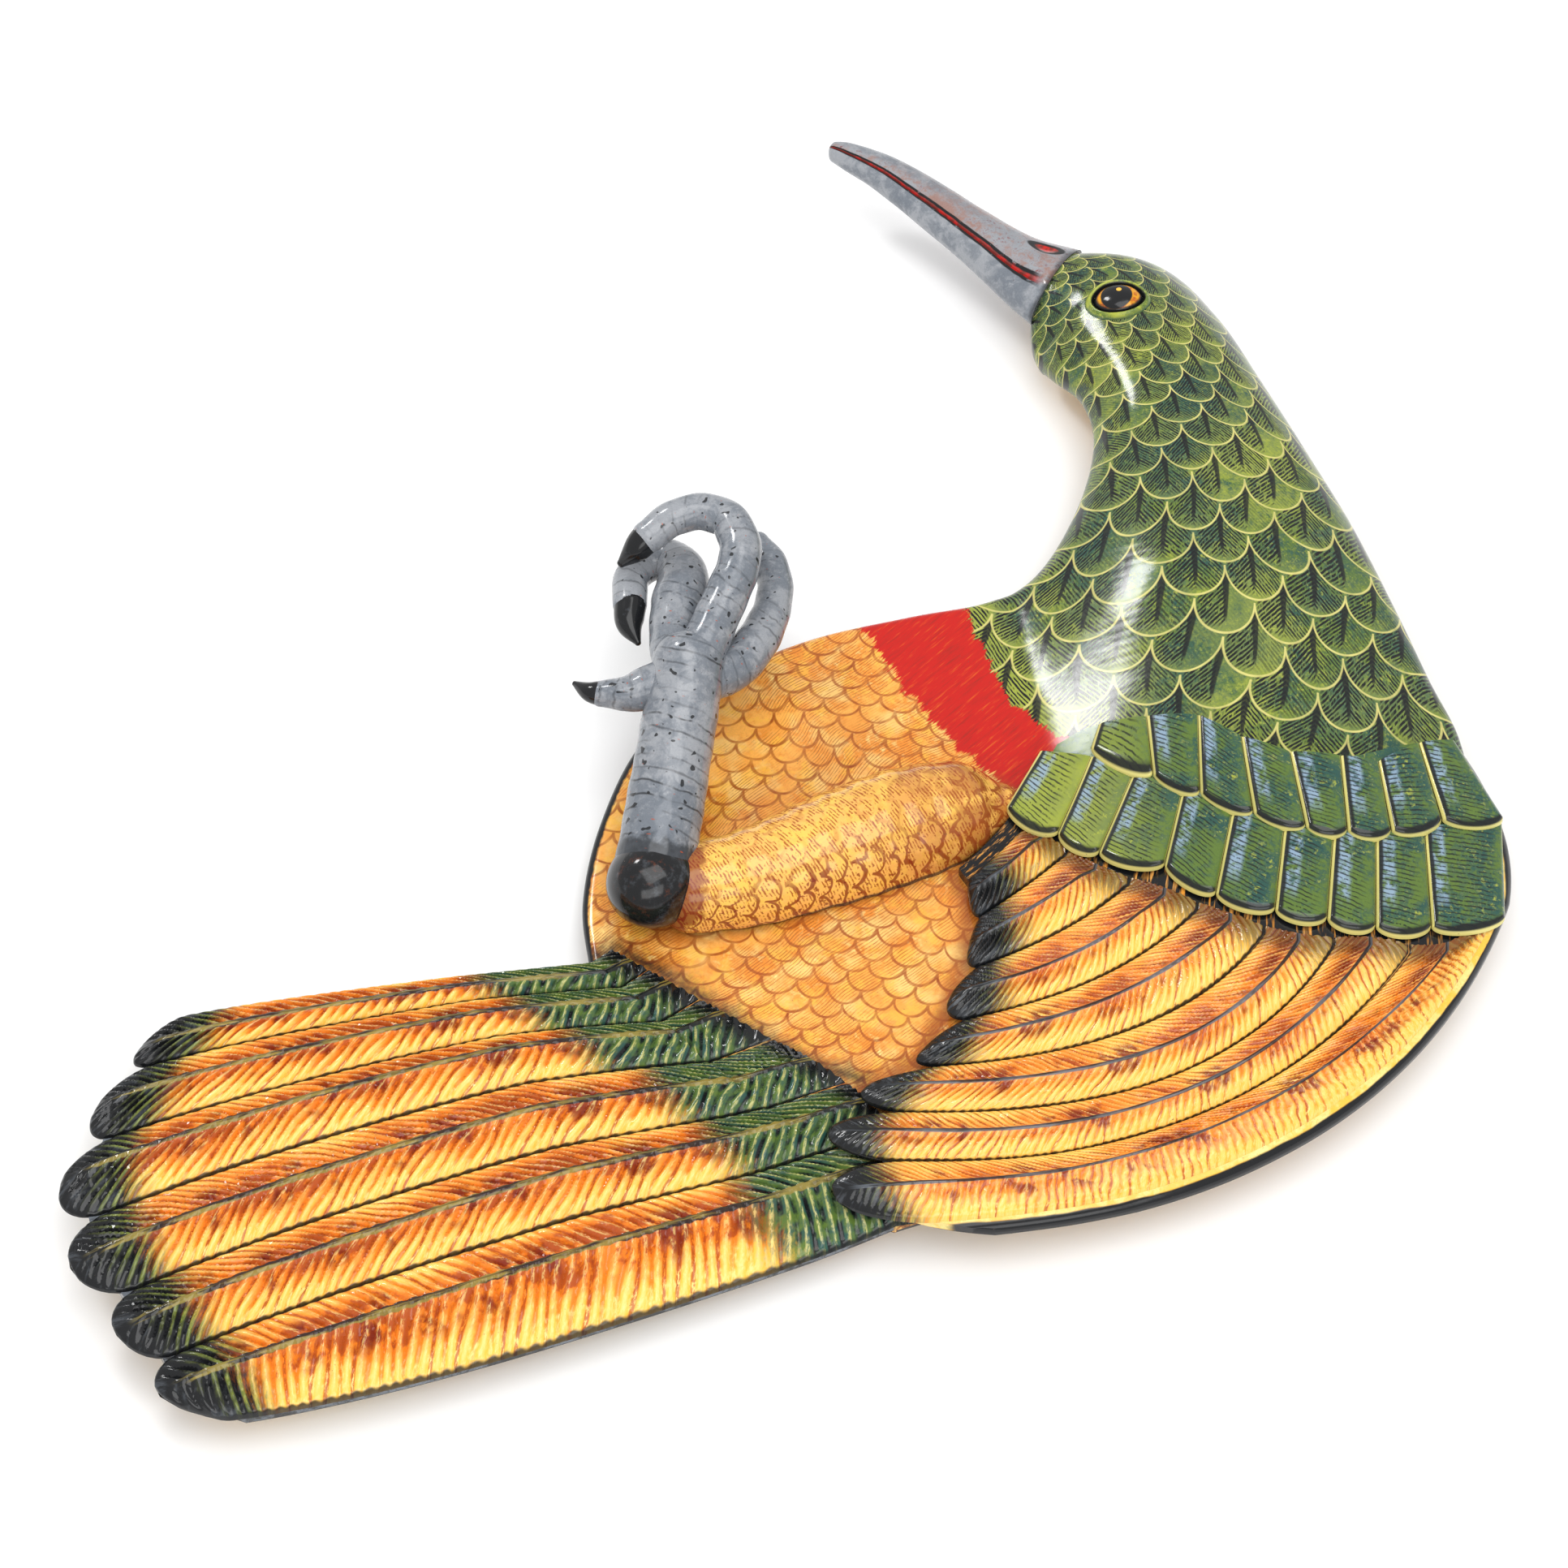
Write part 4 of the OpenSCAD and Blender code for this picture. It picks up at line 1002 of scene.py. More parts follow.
def feather_paint(c, name, tail):
    """Barbs in yellow, orange and rust with inked quills, dark tips and, on the tail, teal roots."""

    def paint(p):
        number, across = p.map("barbs")
        from_root, from_tip = p.map("along")
        a = p.map("share")[1]
        whole = p.math("FLOOR", number)
        ridge = p.add(0.5, p.mul(p.math("COSINE", p.mul(number, 2 * math.pi)), 0.5))
        chance = p.dice(whole, 1.0)
        streak = p.noise(p.vector(number, p.mul(across, 0.16)), 1.0, 3.0, 0.6)
        fine = p.noise(p.vector(p.mul(number, 5.0), p.mul(across, 0.35)), 1.0, 3.0, 0.65)
        slow = p.noise(p.vector(p.mul(from_root, 0.03), p.mul(across, 0.05)), 1.0, 2.0)
        far = p.step(a, 0.02, -0.02)
        away = p.math("ABSOLUTE", a)
        # Near the quill on the near side, and all over the far side, the strokes are dark.
        tone = p.fade(far, p.step(away, 0.95, 0.10), p.step(away, 1.4, 0.1))
        tone = p.add(p.mul(tone, 1.0 if tail else 0.75), p.mul(p.sub(slow, 0.5), 1.7))
        base = p.mix(p.step(p.add(tone, p.mul(p.sub(streak, 0.5), 1.3)), 0.15, 0.95),
                     p.mix(p.step(fine, 0.25, 0.6), c.cream, c.yellow), c.tawny)
        # The barb colours follow the cut ribs: tawny and rust in the grooves are partly brushwork and
        # partly painted shade.
        groove = p.mul(p.step(ridge, 0.55, 0.10), p.step(p.add(tone, fine), 0.45, 0.9))
        base = p.mix(p.mul(groove, 0.85 if tail else 0.6), base, c.tawny)
        stroke = p.mul(p.step(ridge, 0.3, 0.05), p.step(chance, 0.35, 0.55), p.step(fine, 0.4, 0.5))
        base = p.mix(p.mul(stroke, 0.75), base, c.rust)
        mark = p.add(p.mul(streak, 0.9), p.mul(tone, 0.42))
        base = p.mix(p.mul(p.step(mark, 0.78, 0.92), 0.85), base, c.rust)
        patch = p.noise(p.vector(p.mul(from_root, 0.07), p.mul(across, 0.04), 5.0), 1.0, 2.0)
        deep = p.mul(p.step(p.add(patch, p.mul(chance, 0.12)), 0.58, 0.66),
                     p.step(away, 0.65, 0.3), p.step(streak, 0.35, 0.5))
        base = p.mix(p.mul(deep, 0.85), base, c.maroon)
        # Cream on the rib crests is partly the pale barb paint and partly a painted highlight.
        bright = p.mul(p.step(ridge, 0.6, 0.95), p.step(fine, 0.45, 0.6), 0.5)
        base = p.mix(bright, base, c.cream)
        # Dark tip. The green and lime on the barb crests are partly green paint and partly painted
        # sheen, and the slate streaks over the black are painted sheen.
        jag = p.mul(p.sub(fine, 0.5), 16.0)
        tip = p.step(p.add(from_tip, jag), *((34.0, 20.0) if tail else (27.0, 13.0)))
        bare = p.mul(p.step(ridge, 0.45, 0.95), p.step(p.add(from_tip, jag), 8.0, 26.0))
        tip_wash = p.mix(p.mul(bare, p.step(streak, 0.3, 0.6)), c.ink, p.mix(fine, c.green, c.lime))
        tip_wash = p.mix(p.mul(p.step(streak, 0.5, 0.7), 0.3), tip_wash, c.slate)
        base = p.mix(tip, base, tip_wash)
        root_at = p.add(from_root, p.mul(p.sub(fine, 0.5), 22.0))
        if tail:
            root = p.step(root_at, 62.0, 44.0)
            green = p.mix(p.step(streak, 0.35, 0.65), c.teal, c.green)
            # Straw on the rib crests is partly straw paint and partly a painted highlight, and ink in
            # the grooves is partly brushwork and partly painted shade.
            green = p.mix(p.mul(p.step(ridge, 0.75, 0.98), p.step(fine, 0.4, 0.6), 0.6), green, c.straw)
            green = p.mix(p.mul(p.step(ridge, 0.45, 0.1), p.step(streak, 0.65, 0.4)), green, c.ink)
            green = p.mix(p.step(p.add(from_root, p.mul(fine, 8.0)), 16.0, 6.0), green, c.ink)
            base = p.mix(root, base, green)
        else:
            # Painted shadow: ink over the roots of the wing feathers, where they go under the covert
            # tips.
            stain_and_shadow = p.step(root_at, 14.0, 3.0)
            base = p.mix(p.mul(stain_and_shadow, 0.75), base, c.ink)
        # Quill and the gap between feathers.
        thin, thick = (0.1, 1.9) if tail else (0.1, 0.9)
        width = p.fade(p.noise(p.vector(p.mul(from_root, 0.05), 3.0), 1.0, 2.0), thin, thick)
        span = p.math("ABSOLUTE", across)
        quill = p.step(span, p.add(width, 0.35), width)
        dash = p.step(p.noise(p.vector(p.mul(from_root, 0.045), p.mul(across, 0.4), 9.0), 1.0, 3.0),
                      0.42, 0.56)
        inked = p.mix(dash, c.olive, c.ink)
        if not tail:
            inked = p.mix(p.add(p.mul(dash, 0.6), 0.4), c.slate, c.ink)
        fading = p.step(from_tip, 4.0, 12.0)
        base = p.mix(p.mul(quill, fading, 0.95), base, inked)
        notch = p.mul(p.math("SINE", p.mul(number, 2 * math.pi)), 0.012)
        gap_at = p.add(p.add(away, notch), p.mul(p.sub(slow, 0.5), 0.08))
        gap = p.step(gap_at, 0.93, 0.97)
        base = p.mix(p.mul(gap, 0.92), base, c.ink)
        return base

    return glazed(name, paint)


def wing_sheet_paint(c):
    """The wing sheet between and beside its feathers, with its black rim."""

    def paint(p):
        at = p.place()
        rim, share = p.map("rim")
        across = p.map("across")[0]
        wash = p.use(wash_group, first=c.yellow, second=c.cream, third=c.lime, size=1.5)["colour"]
        # Inside the rim the sheet shows only between the feathers and under the covert tips. It is
        # washed tawny there, and the ink strokes over that are painted shadow.
        inner = p.step(p.add(rim, p.mul(p.noise(at, 0.2), 3.0)), 12.0, 17.0)
        strokes = p.noise(p.vector(p.mul(across, 9.0), p.mul(share, 3.0)), 1.0, 3.0, 0.7)
        wash = p.mix(p.mul(inner, 0.6), wash, c.tawny)
        wash = p.mix(p.mul(inner, p.step(strokes, 0.32, 0.48)), wash, c.ink)
        green = green_wash(p, c)
        wash = p.mix(p.step(share, -0.45, -0.6), wash, green)
        waver = p.mul(p.sub(p.noise(at, 0.08, 2.0), 0.5), 2.0)
        black = p.step(p.add(rim, waver), 4.2, 3.2)
        return underside(p, p.mix(black, wash, c.ink), c.ink, c)

    return glazed("painted_wing", paint)


def tail_sheet_paint(c):
    """The tail sheet: black along its rims, cream beneath."""

    def paint(p):
        wash = p.use(wash_group, first=c.ink, second=c.slate, third=c.ink, size=1.5)["colour"]
        return underside(p, wash, c.ink, c)

    return glazed("painted_tail", paint)


def covert_paint(c):
    """Green and blue tiles with a straw outline, an inner black line and fine hatching."""

    def paint(p):
        at = p.place()
        from_left, from_right = p.map("tile")
        down, from_end = p.map("down")
        green = green_wash(p, c)
        # Painted light: the tiles at lower x, towards the breast, are washed paler lime, as if lit from
        # that side.
        x = p.node("SeparateXYZ", {0: at}).outputs["X"]
        sunny = p.step(x, 130.0, 85.0)
        green = p.mix(p.mul(sunny, p.fade(p.noise(at, 0.12), 0.3, 1.0)), green, c.lime)
        streak = p.mul(p.within(from_left, 4.0, 1.6, 2.0), p.step(from_end, 5.0, 12.0))
        green = p.mix(p.mul(streak, p.step(p.noise(at, 0.3), 0.35, 0.6), 0.85), green, c.blue)
        phase = p.sub(p.mul(down, 0.55), p.mul(from_left, 0.16))
        lines = p.use(hatch_group, phase=phase, run=p.mul(from_left, 0.3), weight=0.11)
        reach = p.step(from_right, 1.5, 7.0)
        green = p.mix(p.mul(lines["line"], reach, 0.85), green, c.ink)
        near = p.math("MINIMUM", from_left, p.add(from_end, 0.6))
        heavy = p.add(1.9, p.mul(p.sub(p.noise(at, 0.15), 0.5), 1.6))
        black = p.step(near, p.add(heavy, 0.9), heavy)
        low_right = p.step(from_end, 2.4, 1.4)
        green = p.mix(p.mul(p.most(black, p.mul(low_right, 0.6)), 0.95), green, c.ink)
        border = p.math("MINIMUM", near, p.add(from_right, 0.75))
        green = p.mix(p.step(border, 1.15, 0.75), green, c.straw)
        green = p.mix(p.step(border, 0.2, 0.05), green, c.ink)
        return green

    return glazed("painted_coverts", paint)


def near_knee(p, reach):
    """1 round the knee, 0 further out than a reach in millimetres."""
    middle = (KNEE_LOW + KNEE_HIGH) / 2 / MM
    out = p.node("VectorMath", {0: p.place(), 1: tuple(middle)}, operation="DISTANCE")
    wander = p.mul(p.noise(p.place(), 0.22, 4.0), 9.0)
    return p.step(p.add(out.outputs["Value"], wander), reach + 6.0, reach + 3.0)


def thigh_paint(c):
    """Yellow-orange thigh with rust scales, dashes and dots."""

    def paint(p):
        at = p.place()
        run, round_at = p.map("limb")
        lift = p.map("lift")[0]
        wash = p.use(wash_group, first=c.orange, second=c.yellow, third=c.amber, size=1.0)["colour"]
        wash = p.mix(0.2, wash, c.cream)
        bend = p.mul(p.sub(p.noise(at, 0.08, 2.0), 0.5), 1.2)
        scale = p.use(scallop_group, row=p.sub(bend, p.mul(run, 0.16)),
                      column=p.add(p.mul(round_at, 11.0), bend), bulge=0.7)
        low = p.step(p.add(lift, p.mul(p.noise(at, 0.06), 14.0)), 34.0, 20.0)
        thick = p.mul(p.noise(at, 0.12), 0.14)
        line = p.mul(p.step(scale["line"], p.add(thick, 0.02), p.mul(thick, 0.6)), low)
        wash = p.mix(p.mul(line, 0.85), wash, c.maroon)
        marks = p.use(hatch_group, phase=p.add(p.mul(run, 0.8), p.mul(round_at, 30.0)),
                      run=p.mul(round_at, 60.0), weight=0.2)
        broken = p.step(p.noise(p.vector(p.mul(run, 0.35), p.mul(round_at, 30.0)), 1.0, 2.0), 0.45, 0.52)
        wash = p.mix(p.mul(marks["line"], broken, 0.85), wash, c.brown)
        dots = p.mul(p.step(p.noise(at, 0.55, 1.0, 0.3), 0.36, 0.30), low)
        wash = p.mix(p.mul(dots, 0.8), wash, c.maroon)
        # Painted shade: brown over the root of the thigh, where it goes under the wing.
        upper = p.mul(p.step(run, 70.0, 5.0), p.step(p.noise(at, 0.1), 0.3, 0.55), 0.7)
        wash = p.mix(upper, wash, c.brown)
        wash = p.mix(p.mul(near_knee(p, 20.0), 0.8), wash, c.maroon)
        contact = p.step(p.add(lift, p.mul(p.noise(at, 0.1), 2.0)), 3.8, 2.6)
        return p.mix(p.mul(contact, 0.85), wash, c.ink)

    return glazed("painted_thigh", paint)


def knee_paint(c):
    """Blue-black mottled knee."""

    def paint(p):
        at = p.place()
        worn = p.step(p.noise(at, 0.16, 5.0, 0.7), 0.5, 0.75)
        wash = p.mix(p.mul(worn, 0.45), c.ink, c.slate)
        return p.mix(p.mul(p.step(p.noise(at, 0.3, 5.0, 0.7), 0.55, 0.75), 0.25), wash, c.brown)

    return glazed("painted_knee", paint)


def leg_paint(c, name, ring):
    """Grey shin or toes with specks, rust dashes and inked rings of a given strength."""

    def paint(p):
        at = p.place()
        run, round_at = p.map("limb")
        wash = grey_wash(p, c)
        bent = p.add(p.mul(run, 0.21), p.mul(p.math("COSINE", p.mul(round_at, 2 * math.pi)), 0.35))
        rings = p.use(hatch_group, phase=bent, run=p.mul(round_at, 7.0), weight=0.015)
        patch = p.step(p.noise(at, 0.07, 2.0), 0.36, 0.56)
        wash = p.mix(p.mul(rings["line"], p.fade(rings["chance"], 0.2, 0.9), patch, ring), wash, c.ink)
        specks = p.step(p.noise(at, 0.42, 0.0, 0.3), 0.26, 0.22)
        wash = p.mix(p.mul(specks, 0.9), wash, c.ink)
        wash = p.mix(near_knee(p, 18.5), wash, p.mix(p.mul(p.noise(at, 0.3, 4.0), 0.5), c.ink, c.slate))
        dash = p.step(p.noise(p.vector(p.mul(run, 0.9), p.mul(round_at, 22.0)), 1.0, 1.0), 0.72, 0.78)
        return p.mix(p.mul(dash, 0.75), wash, c.rust)

    return glazed(name, paint)


def claw_paint(c):
    """Gloss black claws, a little worn."""

    def paint(p):
        worn = p.mul(p.step(p.noise(p.place(), 0.5, 3.0), 0.6, 0.8), 0.2)
        return p.mix(worn, c.ink, c.slate)

    return glazed("painted_claws", paint)


def bill_paint(c):
    """Grey lower bill, brown upper bill, red gape with inked lines, red nostril."""

    def paint(p):
        at = p.place()
        s, w = p.map("bill")
        top = p.map("side")[0]
        low = grey_wash(p, c)
        high = p.use(wash_group, first=c.pink, second=c.grey, third=c.maroon, size=1.0)["colour"]
        wander = p.mul(p.sub(p.noise(at, 0.12, 2.0), 0.5), 0.08)
        w2 = p.add(w, wander)
        colour_now = p.mix(p.step(w2, -0.35, 0.15), p.mix(p.mul(p.step(s, 0.75, 0.2), 0.75), low, high),
                           p.mix(p.step(w2, GAPE + 0.05, GAPE - 0.1), low, high))
        gape = p.within(w2, GAPE - 0.01, 0.075, 0.02)
        inked = p.most(p.within(w2, GAPE - 0.10, 0.03, 0.03), p.within(w2, GAPE + 0.085, 0.034, 0.03))
        reach = p.mul(p.step(s, 0.02, 0.10), top)
        stripe = p.mix(p.step(p.noise(at, 0.35, 3.0), 0.35, 0.6), c.red, c.maroon)
        colour_now = p.mix(p.mul(gape, reach, 0.92), colour_now, stripe)
        colour_now = p.mix(p.mul(inked, reach, p.step(p.noise(at, 0.25), 0.3, 0.42)), colour_now, c.ink)
        du = p.math("DIVIDE", p.sub(s, NOSTRIL[0]), 0.06)
        dv = p.math("DIVIDE", p.sub(w, NOSTRIL[1]), 0.15)
        ring = p.math("SQRT", p.add(p.mul(du, du), p.mul(dv, dv)))
        colour_now = p.mix(p.mul(p.step(ring, 1.35, 1.15), top), colour_now, c.ink)
        stain_and_shadow = p.mix(p.step(p.noise(at, 0.5, 2.0), 0.4, 0.6), c.red, c.maroon)
        colour_now = p.mix(p.mul(p.step(ring, 0.85, 0.65), top), colour_now, stain_and_shadow)
        smear = p.step(p.add(s, p.mul(p.noise(at, 0.2), 0.04)), 0.05, 0.02)
        return p.mix(p.mul(smear, 0.7), colour_now, c.ink)

    return glazed("painted_bill", paint)


def lid_paint(c):
    """Yellow-green eyelid with an inked inner edge."""

    def paint(p):
        u = p.map("lid")[0]
        wash = p.use(wash_group, first=c.lime, second=c.green, third=c.straw, size=0.8)["colour"]
        wash = p.mix(p.step(u, 0.42, 0.22), wash, c.ink)
        return p.mix(p.mul(p.step(u, 0.82, 0.98), 0.7), wash, c.teal)

    return glazed("painted_lid", paint)


def eye_paint(c):
    """Amber iris, black pupil and a yellow glint."""

    def paint(p):
        x, y = p.map("eye")
        u = p.map("share")[0]
        from_middle = p.math("SQRT", p.add(p.mul(x, x), p.mul(y, y)))
        at = p.place()
        iris = p.mix(p.step(p.noise(at, 0.5, 3.0), 0.4, 0.65), c.iris, c.rust)
        iris = p.mix(p.step(u, 0.80, 0.92), iris, c.ink)
        iris = p.mix(p.step(from_middle, 5.9, 5.5), iris, c.ink)
        gx, gy = p.sub(x, 0.9), p.sub(y, 2.2)
        glint = p.math("SQRT", p.add(p.mul(gx, gx), p.mul(gy, gy)))
        return p.mix(p.step(glint, 1.1, 0.8), iris, c.yellow)

    return glazed("painted_eye", paint)


def clay_material(c):
    """Bare fired clay of the foot ring."""
    material, p = bare_material("bare_clay")
    at = p.place()
    wash = p.use(wash_group, first=c.clay, second=c.clay, third=c.cream, size=1.2)["colour"]
    grit = p.noise(at, 1.4, 4.0, 0.7)
    colour_now = p.mix(p.mul(p.step(grit, 0.62, 0.72), 0.6), wash, c.brown)
    bump = p.node("Bump", {"Strength": 0.7, "Distance": 0.0004, "Height": grit})
    shader = p.node("BsdfPrincipled", {"Base Color": colour_now, "Roughness": p.fade(grit, 0.75, 0.95),
                                       "Normal": bump.outputs[0]})
    p.node("OutputMaterial", {"Surface": shader.outputs[0]})
    return material


# ---------------------------------------------------------------- pieces: trunk, foot, eye

BELLY_EDGE = [(240, -110), (78, -42), (71, -27), (57, -15), (44, 2), (30, 23), (19, 45), (8, 66)]
NECK_EDGE = [(240, -60), (130, -25), (94, -10), (83, -2), (70, 12), (62, 34), (56, 53), (48, 74)]
TAIL_EDGE = [(-82, -97), (-72, -95), (-64, -91), (-47, -102), (-26, -118), (1, -138), (17, -145),
             (34, -197)]
BELLY_SCALE = (12.0, 6.8)
# Lines across head and neck that the scale rows follow, and the width of a scale on each
SCALE_LEFT = [(20, -60), (34, -14), (50, 18), (66, 44), (83, 68), (98, 94), (104, 120), (100, 140),
              (90, 155), (84, 166), (80, 180)]
SCALE_RIGHT = [(238, -96), (234, -52), (226, -14), (216, 16), (206, 46), (194, 82), (180, 116),
               (166, 149), (153, 180), (136, 202), (103, 212)]
SCALE_WIDE = [23, 23, 23, 22.5, 21.5, 20, 17, 14, 12, 10.5, 9]
SCALE_ROWS = 0.62


def neck_lines(x, y):
    """Scale rows and columns that follow head and neck, rows running towards the tail."""
    at = np.linspace(0, len(SCALE_LEFT) - 1, 200)
    left, right, wide = curve(SCALE_LEFT, at), curve(SCALE_RIGHT, at), curve(SCALE_WIDE, at)
    middle, d = (left + right) / 2, right - left
    d = d / np.linalg.norm(d, axis=1, keepdims=True)
    walked = np.linalg.norm(np.diff(middle, axis=0), axis=1)
    rows = np.concatenate([[0], np.cumsum(walked / (SCALE_ROWS * wide[1:]))])
    points = np.stack([np.ravel(x), np.ravel(y)], 1)
    out = np.empty(points.shape)
    for start in range(0, len(points), BATCH):
        part = points[start:start + BATCH]
        over = (d[:, 0] * (part[:, 1:] - left[:, 1]) - d[:, 1] * (part[:, :1] - left[:, 0]))
        i = np.clip((over > 0).sum(1) - 1, 0, len(at) - 2)
        here, ahead = (np.take_along_axis(over, (i + n)[:, None], 1)[:, 0] for n in (0, 1))
        q = np.clip(i + here / (here - ahead + 1e-9), 0, len(at) - 1)
        mid = np.stack([np.interp(q, np.arange(len(at)), middle[:, n]) for n in (0, 1)], 1)
        across = ((part - mid) * d[i]).sum(1) / np.interp(q, np.arange(len(at)), wide)
        out[start:start + BATCH] = np.stack([60 - np.interp(q, np.arange(len(at)), rows), across], 1)
    row, column = (out[:, n].reshape(np.shape(x)) for n in (0, 1))
    return row + 0.22 * uneven(x, y, 90), column + 0.18 * uneven(y, x, 90)


def belly_lines(x, y):
    """Scale rows and columns on the belly, rows running towards the near side."""
    wide, long = BELLY_SCALE
    lean = 0.18 + 0.0012 * x
    row = (120 - y - lean * x + 3.0 * uneven(x, y, 80) + uneven(x, y, 27)) / long
    return row, (x - 0.18 * y + 3.0 * uneven(y, x, 90) + uneven(y, x, 31)) / wide + 40


def from_thigh(k, x, y):
    """Distance in plan from the side of the thigh."""
    path = along(thigh_path(k), np.linspace(0, 1, 60))
    return np.min([np.abs(np.hypot(x - at[0], y - at[1]) - at[3]) for at in path], axis=0)


def trunk_piece(k, q0, q1, rows, columns):
    """A closed piece of body, neck or head."""
    face = trunk(k, q0, q1, rows, columns)
    x, y = face.p[..., 0], face.p[..., 1]
    maps = {
        "bands": (line_distance(BELLY_EDGE, x, y), line_distance(NECK_EDGE, x, y)),
        "neck": neck_lines(x, y),
        "belly": belly_lines(x, y),
        "rims": (face.width * face.t, face.width * (1 - face.t)),
        "shadows": (np.abs(line_distance(TAIL_EDGE, x, y)),
                    np.minimum(np.abs(line_distance(WING_TIP, x, y)), from_thigh(k, x, y) + 3)),
    }
    sheet = Sheet()
    top = {**maps, "side": (1.0, face.inset)}
    sheet.closed(face.top, face.low, top, {**maps, "side": (0.0, face.inset)})
    return sheet


FOOT_ROUND = 1.6


def foot_ring(k):
    """A thrown ring with rounded rims and slight finger waves."""
    outer, inner = k.foot_diameter / 2, k.foot_diameter / 2 - k.foot_wall
    soft = FOOT_ROUND
    corners = [(inner, 0.0, np.pi), (outer, 0.0, 1.5 * np.pi),
               (outer, k.foot_height, 0), (inner, k.foot_height, 0.5 * np.pi)]
    profile = []
    for r, z, start in corners:
        for turn in np.linspace(start, start + np.pi / 2, 7):
            in_r = r + (soft if r == inner else -soft)
            in_z = z + (soft if z == 0 else -soft)
            profile.append((in_r + soft * np.cos(turn), in_z + soft * np.sin(turn)))
    profile = np.array(profile + profile[:1])
    angle = np.linspace(0, 2 * np.pi, 241)[:, None]
    finger_wave = 0.18 * np.sin(5 * angle + 0.4) + 0.1 * np.sin(11 * angle)
    r = profile[None, :, 0] + finger_wave
    z = np.broadcast_to(profile[None, :, 1], r.shape)
    points = np.dstack([FOOT_AT[0] + r * np.cos(angle), FOOT_AT[1] + r * np.sin(angle), z])
    sheet = Sheet()
    sheet.grid(points, {})
    return sheet


EYE_STEP = 0.2


def eyelid(k):
    """A rounded ring of clay round the eye."""
    turn, u = np.meshgrid(np.linspace(0, 2 * np.pi, 121), np.linspace(0, 1, 15), indexing="ij")
    x, y = eye_outline(k, turn, k.lid_width * u)
    z = body_z(k, x, y)
    top = np.dstack([x, y, z + EYE_STEP + 0.6 * k.lid_width * np.sin(np.pi * u)])
    sheet = Sheet()
    sheet.closed(top, np.dstack([x, y, z]), {"lid": (u, turn)}, ring=True)
    return sheet


def eyeball(k):
    """A low dome inside the eyelid."""
    turn, u = np.meshgrid(np.linspace(0, 2 * np.pi, 97), np.linspace(0, 1, 20), indexing="ij")
    x, y = eye_outline(k, turn, -0.1)
    x, y = mix(EYE_AT[0], x, u), mix(EYE_AT[1], y, u)
    z = body_z(k, x, y)
    top = np.dstack([x, y, z + EYE_STEP + k.eye_bulge * np.sqrt(np.maximum(0, 1 - u * u))])
    sheet = Sheet()
    maps = {"eye": (x - EYE_AT[0] + 0.8, y - EYE_AT[1]), "share": (u, turn)}
    sheet.closed(top, np.dstack([x, y, z]), maps, ring=True)
    return sheet


# ---------------------------------------------------------------- pieces: tail and wing

def tail_sheet(k):
    """The sheet under the tail feathers."""
    across = mix(TAIL_SIDE, 1 - TAIL_SIDE, ends(90, 0.05))
    s, v = np.meshgrid(np.linspace(0, 1, 120), across, indexing="ij")
    end = TAIL_STOP - TAIL_CORNER * (np.maximum(0, np.abs(v - 0.5) - 0.34) / 0.16) ** 2
    s = s * end
    p, z = tail_xy(s, v), tail_z(k, s, v)
    top = np.dstack([p, z])
    low = np.dstack([p, np.maximum(k.foot_height, z - k.tail_thick)])
    sheet = Sheet()
    width = np.linalg.norm(tail_xy(s, np.ones(v.shape)) - tail_xy(s, np.zeros(v.shape)), axis=-1)
    side = np.minimum(v - TAIL_SIDE, 1 - TAIL_SIDE - v)
    inset = np.minimum(width * side, TAIL_LENGTH * (end - s))
    sheet.closed(top, low, {"side": (1.0, inset)}, {"side": (0.0, inset)})
    return sheet


def tail_feather(k, i):
    """Tail feather i, from the far side."""

    def place(s, v):
        return np.concatenate([tail_xy(s, v), tail_z(k, s, v)[..., None]], axis=-1)

    lines = (TAIL_LINES[i], TAIL_QUILLS[i], TAIL_LINES[i + 1])
    pitch, rib = k.barb_pitch, k.rib_height
    leans = (1.0, 0.45) if i == TAIL_FEATHERS - 1 else (1.8, 1.0)
    return feather(place, lines, k.tail_feather, 0.93, lambda s: np.clip(1 + 0.75 * s, 0.25, 1),
                   rib, pitch, leans, -1.0, i * 1.7)


def wing_sheet(k):
    """The sheet under the wing feathers and coverts."""
    s, v = np.meshgrid(np.linspace(-1, 1, 130), 8 * ends(110, 0.04), indexing="ij")
    end = WING_STOP - WING_CORNER * np.maximum(0, (v - 7.4) / 0.6) ** 2
    s = np.where(s > 0, s * end, s)
    top = wing_place(k, s, v)
    low = top.copy()
    low[..., 2] = body_z(k, top[..., 0], top[..., 1]) + wing_lift(k, s, v)
    rim_line = wing_xy(s, np.full(v.shape, 8.0))
    rim = np.linalg.norm(rim_line - top[..., :2], axis=-1)
    sheet = Sheet()
    maps = {"rim": (rim, s), "across": (v, s)}
    sheet.closed(top, low, {**maps, "side": (1.0, rim)}, {**maps, "side": (0.0, rim)})
    return sheet


def wing_feather(k, i):
    """Wing feather i, from the breast."""
    last = i == PRIMARIES - 1
    lines = (i + 0.5, i + 1.0, 7.75 if last else i + 1.5)
    return feather(lambda s, v: wing_place(k, s, v), lines, k.wing_feather, 0.9,
                   lambda s: np.minimum(1, 0.35 + 4 * np.maximum(0, s)),
                   k.wing_rib_height, k.wing_pitch, (1.4, 0.9), -0.04, 20 + i * 2.3,
                   outer=0.86 if last else 1.0)


# ---------------------------------------------------------------- pieces: leg

